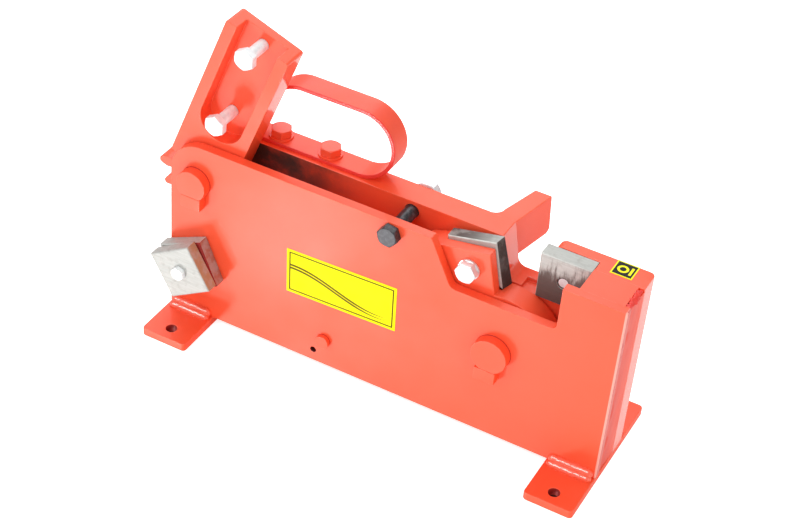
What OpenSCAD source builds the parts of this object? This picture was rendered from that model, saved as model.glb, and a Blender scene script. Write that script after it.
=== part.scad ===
// Manual rebar cutter: a geared hand lever swings a jaw arm between two side plates.
// X runs from the lever end to the fixed blade end, Y from the front plate to the rear
// plate, Z up from the floor. The origin is the centre of the four foot holes, on the floor.

/* [Side plates] */
// Height of the side plates above the feet
plate_h = 199; // [190:1:215]
// Thickness of the front plate
front_t = 10; // [8:1:14]
// Thickness of the rear plate
rear_t = 27; // [25:1:32]
// Clear width between the two plates
gap_w = 30; // [28:1:36]
// Radius of the plates' top corner over the lever pin
corner_r = 34; // [20:1:38]
// Distance from the lever pin to the plates' left end
pin_inset = 28.5; // [26:0.5:34]
// Length of the solid block between the plates at the fixed blade end
end_block_l = 49.5; // [40:0.5:60]
// How far the block stands back between the plates at that end
end_recess = 6; // [3:0.5:9]
// How far the weld metal in that recess lies below the plates' ends
end_weld_low = 1; // [0.5:0.1:2]

/* [Feet] */
// Length of each foot across the body
foot_l = 170; // [150:1:200]
// Width of each foot
foot_w = 50; // [40:1:60]
// Rounding of the feet's corners
foot_corner_r = 4; // [1:0.5:8]
// Thickness of each foot
foot_t = 9; // [6:1:12]
// Diameter of the mounting holes
foot_hole_d = 11; // [9:0.5:14]
// Distance from a foot's end to its hole
foot_hole_edge = 15; // [12:1:20]
// Leg of the fillet welds between feet and plates
weld_leg = 6; // [4:0.5:8]

/* [Gearing] */
// Tooth module of the lever gear and the arm's sector
gear_module = 7; // [6.5:0.1:7.4]
// Teeth on the lever gear
lever_teeth = 12; // [12:1:12]
// Teeth that a full circle of the arm's sector would have
sector_teeth = 82; // [78:1:86]
// Play between the teeth at the pitch circle
tooth_play = 0.6; // [0.4:0.1:1.2]
// Height of the arm pin below the lever pin
pin_drop = 59; // [56:1:62]
// Height of the plates' top above the lever pin
lever_pin_depth = 40; // [38:1:44]

/* [Pins] */
// Diameter of the lever's pin
lever_pin_d = 32; // [28:1:35]
// Diameter of the arm's pin
arm_pin_d = 36; // [32:1:37]
// Radial running clearance of each pin in its bush
pin_run = 0.06; // [0.03:0.01:0.1]
// Wall of the bronze bushes
bush_wall = 4; // [3:0.5:5]
// How far the pins stand out of the front plate
pin_proud = 10.5; // [8:0.5:13]
// Width of the keeper blocks
keeper_w = 22; // [18:1:24]
// Height of the keeper blocks
keeper_h = 14; // [9:1:15]
// Depth of the keeper's bite into the lever's pin
lever_keeper_bite = 3.5; // [1:0.5:4]
// Depth of the keeper's bite into the arm's pin
arm_keeper_bite = 1.5; // [1:0.5:4]
// How far the arm's keeper lies to the left of its pin
arm_keeper_shift = 2; // [0:0.5:4]

/* [Lever socket] */
// Lean of the socket at rest, from upright towards the blades
lever_lean = 20; // [14:1:24]
// Travel of the lever from rest to the end of the cut
lever_travel = 160; // [150:1:164]
// Width of the socket block
socket_w = 70; // [66:1:76]
// Length of the socket block above the lever pin
socket_l = 178; // [160:1:200]
// Offset of the socket's centre line to the left of the lever pin
socket_offset = 5; // [3:0.5:7]
// Thickness of the lever socket
socket_t = 28; // [26:0.5:28.5]
// Width of the pocket for the handle bar
pocket_w = 46; // [40:1:50]
// Depth of the pocket
pocket_depth = 18; // [14:1:20]
// Distance from the lever pin to the centre of the pocket's round end
pocket_start = 73; // [70:1:84]
// Distance from the socket's upper end to the upper handle bolt
handle_bolt_end = 14; // [11:1:18]
// Spacing of the two handle bolts
handle_bolt_pitch = 88; // [78:1:90]
// Shank diameter of the handle bolts
handle_bolt_d = 12; // [10:1:14]
// Length of each handle bolt's shank that shows above the pocket floor
handle_bolt_show = 25.5; // [20:0.5:30]

/* [Blades] */
// Side of the square blades
blade_w = 50; // [46:1:52]
// Thickness of the moving blade and the spare blades
blade_t = 14; // [12:0.5:18]
// Thickness of the fixed blade
fixed_blade_t = 17; // [14:0.5:20]
// Tapped hole through the middle of each blade
blade_hole_d = 12.5; // [11:0.5:14]
// Chamfer around the faces of the blades
blade_chamfer = 1; // [0.5:0.1:2]
// Distance of the fixed blade's cutting edge beyond the arm pin
jaw_reach = 18.3; // [16:0.1:22]
// Gap between the two blades' faces as they pass
shear_gap = 0.3; // [0.2:0.1:0.6]
// Distance from the shear plane forward of the rear plate's inner face
shear_inset = 3; // [2:0.5:4]
// Tilt of the moving blade when the jaw is open
jaw_tilt = 13.5; // [12:0.5:16]
// Sideways offset of the moving blade's centre from the arm pin
jaw_centre_x = -37.9; // [-39:0.1:-35]
// Height of the moving blade's centre above the arm pin
jaw_centre_z = 72.2; // [70:0.1:73]
// Clearance of a blade in its pocket
seat_gap = 0.3; // [0.2:0.1:0.5]

/* [Throat] */
// Height of the plates' top above the throat floor
throat_depth = 47; // [44:1:49]
// Distance from the fixed blade's cutting edge to the front notch's right wall
notch_right = 38; // [34:1:44]
// Distance from the cutting edge to the front notch's lower left corner
notch_left = 67.5; // [62:1:72]
// Lean of the front notch's left wall from upright
notch_lean = 27; // [22:1:30]
// Radius in the front notch's left corner
notch_r = 8; // [4:1:10]
// Distance from the cutting edge to the rear notch's left wall at the top
rear_notch_left = 39; // [36:1:44]
// Distance from the cutting edge to the rear notch's right wall, behind the fixed blade
rear_notch_right = 6.5; // [4:0.5:9]
// Lean of the rear notch's left wall from upright
rear_notch_lean = 11; // [8:1:14]
// Radius in the rear notch's lower corner
rear_notch_r = 9; // [4:1:12]
// Radius of the rear notch's upper right shoulder
shoulder_r = 8; // [3:1:10]
// Length of the blade pocket to the left of the cutting edge
pocket_left = 15; // [10:1:18]
// Clearance of the arm from the front plate
side_clear = 1.2; // [0.8:0.1:2]

/* [Bar guide] */
// Thickness of the horn that steadies the bar behind the plates
guide_t = 17; // [14:1:20]
// Height of the horn
guide_h = 44; // [34:1:46]
// Reach of the horn behind the rear plate
guide_l = 54; // [40:1:65]
// Turn of the horn away from square
guide_turn = 11.8; // [6:0.2:14]
// How much further than its top the horn's lower end reaches
guide_slant = 4.5; // [0:0.5:8]
// Fillet between the horn and the rear plate
guide_fair = 10; // [6:1:14]
// Rounding of the horn's lower end
guide_round = 6; // [3:1:10]

/* [Carrying handle] */
// Width of the flat bar
strap_w = 25; // [20:1:26]
// Thickness of the flat bar
strap_t = 4; // [3:0.5:6]
// Straight length along the top of the handle loop
strap_flat = 62.7; // [50:0.1:80]
// Outer height of the handle loop
strap_h = 74.4; // [60:0.2:90]
// Turn of the bend at the loop's left, where the bar slopes down to the plate
strap_turn = 60; // [50:1:75]
// Distance from the plates' left end to the middle of the handle's bolts
strap_from_end = 114.2; // [108:0.1:124]
// Distance of the handle's front edge behind the rear plate's inner face
strap_back = 4.5; // [2:0.5:8]
// Depth of the threaded holes for the handle's bolts
strap_bolt_depth = 22; // [18:1:26]
// Spacing of the handle's two bolts
strap_bolt_pitch = 54; // [40:1:60]
// Shank diameter of the handle's bolts
strap_bolt_d = 12; // [8:1:12]

/* [Fasteners] */
// Diameter of the tie bolt through both plates
tie_d = 14; // [12:1:16]
// Size across the flats of the tie bolt's head and nut
tie_flats = 19; // [17:1:22]
// Distance from the left end of the body to the tie bolt
tie_from_end = 238.5; // [232:0.5:244]
// Depth of the tie bolt below the plates' top
tie_depth = 11.5; // [10:0.5:13]
// Diameter of the stop pin under the arm
stop_d = 14; // [10:1:16]
// Distance from the left end of the body to the stop pin
stop_from_end = 177; // [150:1:190]
// Diameter of the small tapped hole beside the stop pin
small_hole_d = 6; // [4:0.5:7]
// How far the stop pin stands out of the front plate
stop_proud = 5; // [1:0.5:7]
// Shank diameter of the spare blades' bolt
spare_bolt_d = 8; // [8:1:12]
// Distance from the left end of the body to the spare blades' bolt
spare_from_end = 28.5; // [26:0.5:60]
// Height of the spare blades' bolt above the feet
spare_height = 67; // [60:0.5:74]
// Turn of the outer spare blade
spare_turn_outer = 31; // [0:0.5:90]
// Turn of the inner spare blade
spare_turn_inner = 24.5; // [0:0.5:90]
// How far the loose spare blades sag on their bolt
spare_sag = 0.9; // [0:0.1:1]
// How far the inner spare blade lies to one side on the bolt
spare_shift = 0.7; // [0:0.1:0.8]
// Shank diameter of the bolt that holds the fixed blade
fixed_bolt_d = 12; // [10:1:12]
// Shank diameter of the bolt that holds the moving blade
moving_bolt_d = 12; // [10:1:12]
// Wall of the arm around its bush
boss_wall = 32.5; // [30:0.5:34]

/* [Labels] */
// Width of the plain yellow plate label
label_w = 118.5; // [100:0.5:130]
// Height of the plate label
label_h = 50.5; // [40:0.5:56]
// Distance from the left end of the body to the middle of the plate label
label_from_end = 191.7; // [180:0.1:200]
// Height of the middle of the plate label above the feet
label_height = 100.4; // [90:0.2:110]
// Tilt of the plate label
label_tilt = 1.8; // [0:0.1:3]
// Side of the square capacity label
mark_w = 21; // [16:1:22]
// Distance from the right end of the body to the middle of the capacity label
mark_inset = 26; // [20:1:30]
// Thickness of the labels
label_t = 0.3; // [0.2:0.1:0.5]

/* [Hidden] */
$fn = 64;

paint = [0.93, 0.33, 0.24];
steel = [0.62, 0.62, 0.60];
zinc = [0.86, 0.87, 0.88];
bronze = [0.72, 0.52, 0.25];
black_steel = [0.13, 0.13, 0.14];
yellow = [0.98, 0.93, 0.12];

// Place of the small hole, back from and below the stop pin.
small_hole_back = 11;
small_hole_drop = 17;
// How far the thrust washer reaches beyond the arm's bush.
thrust_rim = 4;
// Distance of the small square label from the rear edge.
mark_edge = 0.5;
// Distance of the end weld's top below the plates' top.
end_weld_drop = 3;
// Distance of the foot welds from the foot's sides.
weld_inset = 2;
// Depth of the fixed blade's bolt end behind the blade's face.
fixed_bolt_depth = 1;
// How much deeper than its walls an inner corner's round cuts, and how far its web sinks in.
round_bite = 0.04;
web_sink = 0.4;
// Facets of the larger rounds.
round_fn = 96;
// Height of the rear notch's floor above the front notch's.
floor_step = 1;
// Length of thread past the tie bolt's nut.
tie_thread = 3;
// How far the moving blade's bolt stops short of the shear plane.
moving_bolt_short = 3;
// How far the carrying handle's bolts stop short of the ends of their holes.
strap_bolt_short = 2;
// Rim of the moving blade's washer beyond the bolt's flats.
washer_rim = 1.2;
// Turns of the hexagon heads from flats level.
handle_head_turn = 12;
moving_head_turn = 12;
tie_head_turn = 10;
spare_head_turn = 20;
// Cutting tools run this far past a face so that no skin is left.
over = 1;

// Gear geometry, all about the two pins.
pressure_angle = 20;
lever_pitch_r = gear_module * lever_teeth / 2;
sector_pitch_r = gear_module * sector_teeth / 2;
pin_centres = lever_pitch_r + sector_pitch_r;
pin_span = sqrt(pin_centres * pin_centres - pin_drop * pin_drop);
gear_ratio = lever_teeth / sector_teeth;
arm_travel = lever_travel * gear_ratio;
lever_addendum = gear_module;
sector_addendum = 0.7 * gear_module;
dedendum = 1.25 * gear_module;
// Angle of a lever tooth from +X at rest, and the angles along the line of the pins.
tooth_phase = -1.5;
to_arm = -asin(pin_drop / pin_centres);
to_lever = 180 + to_arm;

// Overall places.
body_l = pin_inset + pin_span + jaw_reach + blade_w + end_block_l;
body_w = front_t + gap_w + rear_t;
left_x = -body_l / 2;
right_x = body_l / 2;
front_y = -body_w / 2;
gap_y = front_y + front_t;
rear_y = gap_y + gap_w;
back_y = front_y + body_w;
top_z = foot_t + plate_h;
lever_pin_x = left_x + pin_inset;
lever_pin_z = top_z - lever_pin_depth;
arm_pin_x = lever_pin_x + pin_span;
arm_pin_z = lever_pin_z - pin_drop;
edge_x = arm_pin_x + jaw_reach;
block_x = edge_x + blade_w;
floor_z = top_z - throat_depth;
shear_y = rear_y - shear_inset;
lever_bush_r = lever_pin_d / 2 + bush_wall;
arm_bush_r = arm_pin_d / 2 + bush_wall;

// Lever socket and arm across the gap.
socket_y = gap_y + (gap_w - socket_t) / 2;
arm_y = gap_y + side_clear;
arm_back_y = shear_y - shear_gap;
thrust_t = rear_y - arm_back_y - 2 * seat_gap;
pocket_floor_y = socket_y + pocket_depth;

// Hexagon heads by shank diameter: across flats, head height, washer.
function across_flats(d) = d <= 8 ? 13 : d <= 10 ? 16 : d <= 12 ? 19 : d <= 14 ? 22 : 24;
function head_h(d) = 0.63 * d;
function nut_h(d) = 0.85 * d;
function washer_r(d) = d;
washer_t = 2;

function pol(r, a) = [r * cos(a), r * sin(a)];

// Involute tooth outline as one side's half angle at radius r.
function inv(a) = tan(a) * 180 / PI - a;
function roll(rp, r) = acos(min(1, rp * cos(pressure_angle) / r));
function half_angle(rp, r) =
    ((PI * gear_module / 2 - tooth_play / 2) / (2 * rp)) * 180 / PI
    + inv(pressure_angle) - inv(roll(rp, r));
flank_steps = 5;
function flank_radii(rp, add) =
    let (rb = rp * cos(pressure_angle), r0 = rp - dedendum, r1 = rp + add, rs = max(rb, r0))
    concat(rb > r0 ? [r0] : [], [for (i = [0 : flank_steps]) rs + (r1 - rs) * i / flank_steps]);
function tooth(rp, add, a) =
    let (rr = flank_radii(rp, add), n = len(rr))
    concat(
        [for (i = [0 : n - 1]) pol(rr[i], a - half_angle(rp, rr[i]))],
        [for (i = [n - 1 : -1 : 0]) pol(rr[i], a + half_angle(rp, rr[i]))]
    );

// Small clearance between parts that are fastened together.
stop_fit = 0.05;
bolt_clear = 0.3;

// Notches at the top of the plates, the fixed blade's pocket and its bolt.
notch_x0 = edge_x - notch_left;
notch_x1 = edge_x + notch_right;
rear_notch_x0 = edge_x - rear_notch_left;
rear_notch_x1 = edge_x + rear_notch_right;
rear_floor_z = floor_z + floor_step;
rear_foot_x = rear_notch_x0 + (top_z - rear_floor_z) * tan(rear_notch_lean);
pocket_back_y = shear_y + shear_gap / 2 + fixed_blade_t + seat_gap;
blade_floor_z = top_z - blade_w;
blade_cx = edge_x + blade_w / 2;
blade_cz = blade_floor_z + blade_w / 2;
fixed_bolt_y = back_y + washer_t;

// Feet, keepers, spare blades, labels.
left_foot_x = left_x;
right_foot_x = right_x - foot_w;
lever_keeper_top = lever_pin_z - lever_pin_d / 2 + lever_keeper_bite;
arm_keeper_top = arm_pin_z - arm_pin_d / 2 + arm_keeper_bite;
spare_x = left_x + spare_from_end;
spare_z = foot_t + spare_height;
label_x = left_x + label_from_end;
label_z = foot_t + label_height;
mark_x = right_x - mark_inset;
mark_y = back_y - mark_w / 2 - mark_edge;

// Carrying handle.
strap_y = rear_y + strap_back + strap_w / 2;
strap_mid = left_x + strap_from_end;
strap_r = strap_h / 2;
strap_bolt_x = [strap_mid - strap_bolt_pitch / 2, strap_mid + strap_bolt_pitch / 2];

// Lever socket, drawn about the lever pin and upright; at_lever() leans it. Its block starts
// a little above the pin, and its upper corners are rounded.
socket_v0 = -socket_offset - socket_w / 2;
socket_u0 = 5;
socket_corner = 3;
// Teeth only where the sector ever reaches: below and to the left of the block.
lever_root = lever_pitch_r - dedendum;
lever_angles = [for (i = [-6 : 0]) tooth_phase + lever_lean + 360 * i / lever_teeth];
handle_bolt_u = socket_l - handle_bolt_end;
handle_bolt_us = [handle_bolt_u, handle_bolt_u - handle_bolt_pitch];

// Toothed rim of the jaw arm, drawn about the arm pin as it stands at rest. It runs this many
// degrees past the teeth that mesh at rest and at the end of the travel.
rim_before = 5.2;
rim_after = 1.2;
// How far the teeth's feet and the tail's corners lie inside the rim, and the corners' turn.
tooth_sink = 4;
tail_sink = 2;
tail_turn = 0.3;
sector_first = to_lever - rim_before;
sector_last = to_lever + arm_travel + rim_after;
sector_step = 360 / sector_teeth;
tail_rim = sector_pitch_r - dedendum;
// The lever tooth nearest the line of the pins sits this far past it, so the sector's gap
// that takes it sits proportionally far the other way.
mesh_offset = tooth_phase - to_arm;
sector_phase = to_lever - mesh_offset * gear_ratio;
tooth_root = half_angle(sector_pitch_r, tail_rim);
sector_angles = [
    for (i = [-2 : 8])
        let (a = sector_phase + (i + 0.5) * sector_step)
        if (a - tooth_root > sector_first && a + tooth_root < sector_last) a
];

// Tie bolt: at the end of the cut the arm's tail comes up to this gap under it.
tie_gap = 1;
tie_x = left_x + tie_from_end;
tie_z = top_z - tie_depth;
tie_hole_r = tie_d / 2 + bolt_clear;
tie_clear = tie_d / 2 + tie_gap;
tie_rel = [tie_x - arm_pin_x, tie_z - arm_pin_z];
tie_end = pol(norm(tie_rel), atan2(tie_rel[1], tie_rel[0]) + arm_travel);
tail_top = pol(tail_rim - tail_sink, sector_first + tail_turn);
to_tie = tie_end - tail_top;
tail_dir = atan2(to_tie[1], to_tie[0]) - asin(tie_clear / norm(to_tie));
// Waist of the tail, to the left of the arm pin.
waist_x = -100;
waist_z = tail_top[1] + (waist_x - tail_top[0]) * tan(tail_dir);

// Lower edge of the tail, and the stop pin that it rests on.
boss_r = arm_bush_r + boss_wall;
tail_low = pol(tail_rim - tail_sink, sector_last - tail_turn);
tail_slope = (-boss_r - tail_low[1]) / (0 - tail_low[0]);
stop_x = left_x + stop_from_end;
stop_rel_x = stop_x - arm_pin_x;
tail_under = tail_low[1] + (stop_rel_x - tail_low[0]) * tail_slope;
stop_z = arm_pin_z + tail_under - (stop_d / 2 + seat_gap) * norm([1, tail_slope]);
small_hole_x = stop_x - small_hole_back;
small_hole_z = stop_z - small_hole_drop;

// Jaw end of the arm, its points given in the tilted moving blade's own directions.
head_half = blade_w / 2;
jaw_c = [jaw_centre_x, jaw_centre_z];
function from_jaw(x, z) = jaw_c + [x * cos(jaw_tilt) - z * sin(jaw_tilt), x * sin(jaw_tilt) + z * cos(jaw_tilt)];
web_back_y = shear_y - shear_gap / 2 - blade_t;
jaw_washer_r = across_flats(moving_bolt_d) / 2 + washer_rim;

// Draws a flat XZ outline as a slab from y0 to y1.
module slab(y0, y1) {
    translate([0, y1, 0])
        rotate([90, 0, 0])
            linear_extrude(height = y1 - y0)
                children();
}

// Cylinder along Y about a point of the XZ plane.
module rod(x, z, r, y0, y1) {
    translate([x, y1, z])
        rotate([90, 0, 0])
            cylinder(h = y1 - y0, r = r);
}

// Hexagon prism along Y, across flats af.
module hex_rod(x, z, af, y0, y1, turn = 0) {
    translate([x, y1, z])
        rotate([90, turn, 0])
            cylinder(h = y1 - y0, r = af / 2 / cos(30), $fn = 6);
}

// Hexagon bolt along Y: its head reaches forward from y0, its shank back to y1.
module bolt_y(x, z, d, y0, y1, turn = 0) {
    hex_rod(x, z, across_flats(d), y0 - head_h(d), y0, turn);
    rod(x, z, d / 2, y0 - over / 2, y1);
}

// Outline of a side plate: rectangle with one rounded corner over the lever pin.
module plate_outline() {
    translate([left_x, foot_t])
        square([body_l, plate_h - corner_r]);
    translate([left_x + corner_r, foot_t])
        square([body_l - corner_r, plate_h]);
    translate([left_x + corner_r, top_z - corner_r])
        circle(r = corner_r, $fn = round_fn);
}

module front_notch() {
    lean_x = (throat_depth + over) * tan(notch_lean);
    difference() {
        polygon([
            [notch_x0, floor_z],
            [notch_x1, floor_z],
            [notch_x1, top_z + over],
            [notch_x0 - lean_x, top_z + over]
        ]);
        corner_web(notch_x0, floor_z, 0, 90 + notch_lean, notch_r);
        corner_web(notch_x1, floor_z, 90, 180, notch_r * 0.75);
    }
}

// What a round of radius r leaves in the corner at (x, z) between two wall directions.
// The round cuts a little deeper than the walls, so that it ends on them cleanly.
module corner_web(x, z, a0, a1, r) {
    half = (a1 - a0) / 2;
    reach = r / tan(half);
    c = [x, z] + pol(r / sin(half), a0 + half);
    corner = [x, z] - pol(web_sink, a0 + half);
    difference() {
        polygon([corner, corner + pol(reach, a0), c, corner + pol(reach, a1)]);
        translate(c)
            circle(r = r + round_bite);
    }
}

module front_plate() {
    color(paint)
        slab(front_y, gap_y)
            difference() {
                plate_outline();
                front_notch();
                translate([lever_pin_x, lever_pin_z]) circle(r = lever_pin_d / 2 + pin_run);
                translate([arm_pin_x, arm_pin_z]) circle(r = arm_pin_d / 2 + pin_run);
                translate([tie_x, tie_z]) circle(r = tie_hole_r);
                translate([stop_x, stop_z]) circle(r = stop_d / 2 + stop_fit);
                translate([small_hole_x, small_hole_z]) circle(r = small_hole_d / 2);
                translate([spare_x, spare_z]) circle(r = spare_bolt_d / 2 + stop_fit);
            }
}

// Rear notch: the bar passes here, beside the fixed blade's pocket.
module rear_notch() {
    difference() {
        polygon([
            [rear_foot_x, rear_floor_z],
            [rear_notch_x1, rear_floor_z],
            [rear_notch_x1, top_z + over],
            [rear_notch_x0 - over * tan(rear_notch_lean), top_z + over]
        ]);
        corner_web(rear_foot_x, rear_floor_z, 0, 90 + rear_notch_lean, rear_notch_r);
    }
    // Rounded shoulder of the strip behind the fixed blade.
    difference() {
        translate([rear_notch_x1 - over, top_z - shoulder_r])
            square([shoulder_r + over, shoulder_r + over]);
        translate([rear_notch_x1 + shoulder_r, top_z - shoulder_r])
            circle(r = shoulder_r);
    }
}

module rear_plate() {
    color(paint)
        difference() {
            slab(rear_y, back_y)
                difference() {
                    plate_outline();
                    rear_notch();
                    translate([lever_pin_x, lever_pin_z]) circle(r = lever_pin_d / 2 + pin_run);
                    translate([arm_pin_x, arm_pin_z]) circle(r = arm_pin_d / 2 + pin_run);
                    translate([tie_x, tie_z]) circle(r = tie_hole_r);
                    translate([stop_x, stop_z]) circle(r = stop_d / 2 + stop_fit);
                    translate([blade_cx, blade_cz]) circle(r = fixed_bolt_d / 2 + stop_fit);
                }
            translate([edge_x - pocket_left, rear_y - over, blade_floor_z - seat_gap])
                cube([
                    pocket_left + blade_w + seat_gap,
                    pocket_back_y - rear_y + over,
                    blade_w + 2 * over
                ]);
            for (x = strap_bolt_x)
                translate([x, strap_y, top_z - strap_bolt_depth])
                    cylinder(h = strap_bolt_depth + over, r = strap_bolt_d / 2);
        }
}

module end_block() {
    color(paint)
        translate([block_x + seat_gap, gap_y, foot_t])
            cube([end_block_l - seat_gap - end_recess, gap_w, plate_h]);
}

// Weld metal that fills the recess between the block's end and the two plates.
module end_welds() {
    color(paint)
        translate([right_x - end_recess, gap_y, foot_t])
            cube([end_recess - end_weld_low, gap_w, plate_h - end_weld_drop]);
}

// Foot plate before drilling: a flat with rounded corners.
module foot_blank() {
    r = foot_corner_r;
    translate([r, 0, 0])
        cube([foot_w - 2 * r, foot_l, foot_t]);
    translate([0, r, 0])
        cube([foot_w, foot_l - 2 * r, foot_t]);
    for (x = [r, foot_w - r], y = [r, foot_l - r])
        translate([x, y, 0])
            cylinder(h = foot_t, r = r);
}
// Foot plate with a mounting hole near each end.
module foot(x) {
    color(paint)
        translate([x, -foot_l / 2, 0])
            difference() {
                foot_blank();
                for (y = [foot_hole_edge, foot_l - foot_hole_edge])
                    translate([foot_w / 2, y, -over])
                        cylinder(h = foot_t + 2 * over, r = foot_hole_d / 2);
            }
}
module left_foot() { foot(left_foot_x); }
module right_foot() { foot(right_foot_x); }

// Fillet welds along the plates' lower edges.
module foot_welds(x) {
    color(paint)
        for (s = [-1, 1])
            translate([x + weld_inset, s > 0 ? back_y : front_y, foot_t])
                rotate([90, 0, 90])
                    linear_extrude(height = foot_w - 2 * weld_inset)
                        polygon([[0, 0], [s * weld_leg, 0], [0, weld_leg]]);
}
module left_foot_welds() { foot_welds(left_foot_x); }
module right_foot_welds() { foot_welds(right_foot_x); }

// Horn welded behind the rear plate beside the notch: a turned bar with a rounded end.
module guide_plan() {
    side = guide_t / cos(guide_turn);
    x0 = rear_notch_x0 + seat_gap;
    reach = guide_l + guide_slant;
    tip_x = x0 + reach * tan(guide_turn);
    fair = [x0 - side - guide_fair, back_y + guide_fair];
    difference() {
        polygon([
            [x0, back_y],
            [tip_x, back_y + reach],
            [tip_x - side, back_y + reach],
            [x0 - side, back_y + guide_fair],
            [fair[0], back_y]
        ]);
        translate(fair)
            circle(r = guide_fair);
    }
}
// The horn from the side: its end leans out towards the rounded lower corner.
module guide_side() {
    low = [back_y + guide_l + guide_slant, top_z - guide_h];
    difference() {
        polygon([
            [back_y - over, low[1]],
            low,
            [back_y + guide_l, top_z],
            [back_y - over, top_z]
        ]);
        corner_web(low[0], low[1], 90 + atan(guide_slant / guide_h), 180, guide_round);
    }
}
module bar_guide() {
    color(paint)
        intersection() {
            translate([0, 0, top_z - guide_h - over])
                linear_extrude(height = guide_h + 2 * over)
                    guide_plan();
            translate([left_x, 0, 0])
                rotate([90, 0, 90])
                    linear_extrude(height = body_l)
                        guide_side();
        }
}

// Main pins: plain bars with a flat bitten by the keeper.
module main_pin(x, z, d, flat_z) {
    color(paint)
        difference() {
            rod(x, z, d / 2, front_y - pin_proud, back_y);
            translate([x - d / 2, front_y - pin_proud - over, flat_z - d])
                cube([d, pin_proud + over - stop_fit, d]);
        }
}
module keeper(x, top) {
    color(paint)
        translate([x - keeper_w / 2, front_y - pin_proud, top - keeper_h - stop_fit])
            cube([keeper_w, pin_proud, keeper_h]);
}
module lever_pin() { main_pin(lever_pin_x, lever_pin_z, lever_pin_d, lever_keeper_top); }
module arm_pin() { main_pin(arm_pin_x, arm_pin_z, arm_pin_d, arm_keeper_top); }
module lever_pin_keeper() { keeper(lever_pin_x, lever_keeper_top); }
module arm_pin_keeper() { keeper(arm_pin_x - arm_keeper_shift, arm_keeper_top); }

// Ring that keeps the arm off the rear plate.
module arm_thrust_washer() {
    color(bronze)
        difference() {
            rod(arm_pin_x, arm_pin_z, arm_bush_r + thrust_rim, rear_y - thrust_t - stop_fit, rear_y - stop_fit);
            rod(arm_pin_x, arm_pin_z, arm_pin_d / 2 + pin_run, arm_back_y - over, rear_y + over);
        }
}

module tie_bolt() {
    color(black_steel) {
        hex_rod(tie_x, tie_z, tie_flats, front_y - head_h(tie_d), front_y, tie_head_turn);
        rod(tie_x, tie_z, tie_d / 2, front_y - over, back_y + washer_t + nut_h(tie_d) + tie_thread);
    }
}
module ring(x, z, d, y0, r = 0) {
    difference() {
        rod(x, z, r > 0 ? r : washer_r(d), y0, y0 + washer_t);
        rod(x, z, d / 2 + bolt_clear, y0 - over, y0 + washer_t + over);
    }
}
module tie_bolt_washer() { color(zinc) ring(tie_x, tie_z, tie_d, back_y); }
module tie_bolt_nut() {
    y0 = back_y + washer_t;
    color(zinc)
        difference() {
            hex_rod(tie_x, tie_z, tie_flats, y0, y0 + nut_h(tie_d), 0);
            rod(tie_x, tie_z, tie_d / 2 + stop_fit, y0 - over, y0 + nut_h(tie_d) + over);
        }
}

module stop_pin() {
    color(paint)
        rod(stop_x, stop_z, stop_d / 2, front_y - stop_proud, back_y);
}

// Square blade of thickness t about the origin of the XZ plane, behind y0, edges chamfered.
module blade(y0, t = blade_t) {
    c = blade_chamfer;
    h = blade_w / 2;
    color(steel)
        difference() {
            translate([-h, y0, -h])
                cube([blade_w, t, blade_w]);
            for (a = [0 : 90 : 270], y = [y0, y0 + t])
                rotate([0, a, 0])
                    translate([0, y, h])
                        rotate([45, 0, 0])
                            cube([blade_w + 2 * over, c * sqrt(2), c * sqrt(2)], center = true);
            rod(0, 0, blade_hole_d / 2, y0 - over, y0 + t + over);
        }
}

module fixed_blade() {
    translate([blade_cx, 0, blade_cz])
        blade(shear_y + shear_gap / 2, fixed_blade_t);
}
module fixed_blade_bolt() {
    color(zinc) {
        hex_rod(blade_cx, blade_cz, across_flats(fixed_bolt_d), fixed_bolt_y, fixed_bolt_y + head_h(fixed_bolt_d));
        rod(blade_cx, blade_cz, fixed_bolt_d / 2, shear_y + shear_gap / 2 + fixed_bolt_depth, fixed_bolt_y + over);
    }
}
module fixed_blade_washer() { color(zinc) ring(blade_cx, blade_cz, fixed_bolt_d, back_y); }

module spare_blade_outer() {
    translate([spare_x, 0, spare_z - spare_sag])
        rotate([0, -spare_turn_outer, 0])
            blade(front_y - 2 * blade_t);
}
module spare_blade_inner() {
    translate([spare_x + spare_shift, 0, spare_z - spare_sag])
        rotate([0, -spare_turn_inner, 0])
            blade(front_y - blade_t);
}
module spare_blade_bolt() {
    color(zinc)
        bolt_y(spare_x, spare_z, spare_bolt_d, front_y - 2 * blade_t, gap_y, spare_head_turn);
}

// Loop about its left bend, from the bar's foot to radius r of the bends.
module loop_outline(r) {
    turned = [-r * sin(strap_turn), strap_r + r * cos(strap_turn)];
    low = strap_r - r;
    for (x = [0, strap_flat])
        translate([x, strap_r])
            circle(r = r, $fn = round_fn);
    translate([0, low])
        square([strap_flat, 2 * r]);
    polygon([
        [0, low],
        [0, strap_r],
        turned,
        [turned[0] - (turned[1] - low) / tan(strap_turn), low]
    ]);
}
module carry_handle() {
    color(paint)
        difference() {
            translate([strap_mid, 0, top_z])
                slab(strap_y - strap_w / 2, strap_y + strap_w / 2)
                    difference() {
                        loop_outline(strap_r);
                        loop_outline(strap_r - strap_t);
                    }
            for (x = strap_bolt_x)
                translate([x, strap_y, top_z - over])
                    cylinder(h = strap_t + 2 * over, r = strap_bolt_d / 2 + bolt_clear);
        }
}
module carry_handle_bolts() {
    z0 = top_z + strap_t + washer_t;
    shank_z = top_z - strap_bolt_depth + strap_bolt_short;
    color(paint)
        for (x = strap_bolt_x)
            translate([x, strap_y, 0]) {
                translate([0, 0, z0])
                    cylinder(h = head_h(strap_bolt_d), r = across_flats(strap_bolt_d) / 2 / cos(30), $fn = 6);
                translate([0, 0, shank_z])
                    cylinder(h = z0 + over - shank_z, r = strap_bolt_d / 2 - stop_fit);
            }
}
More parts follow.
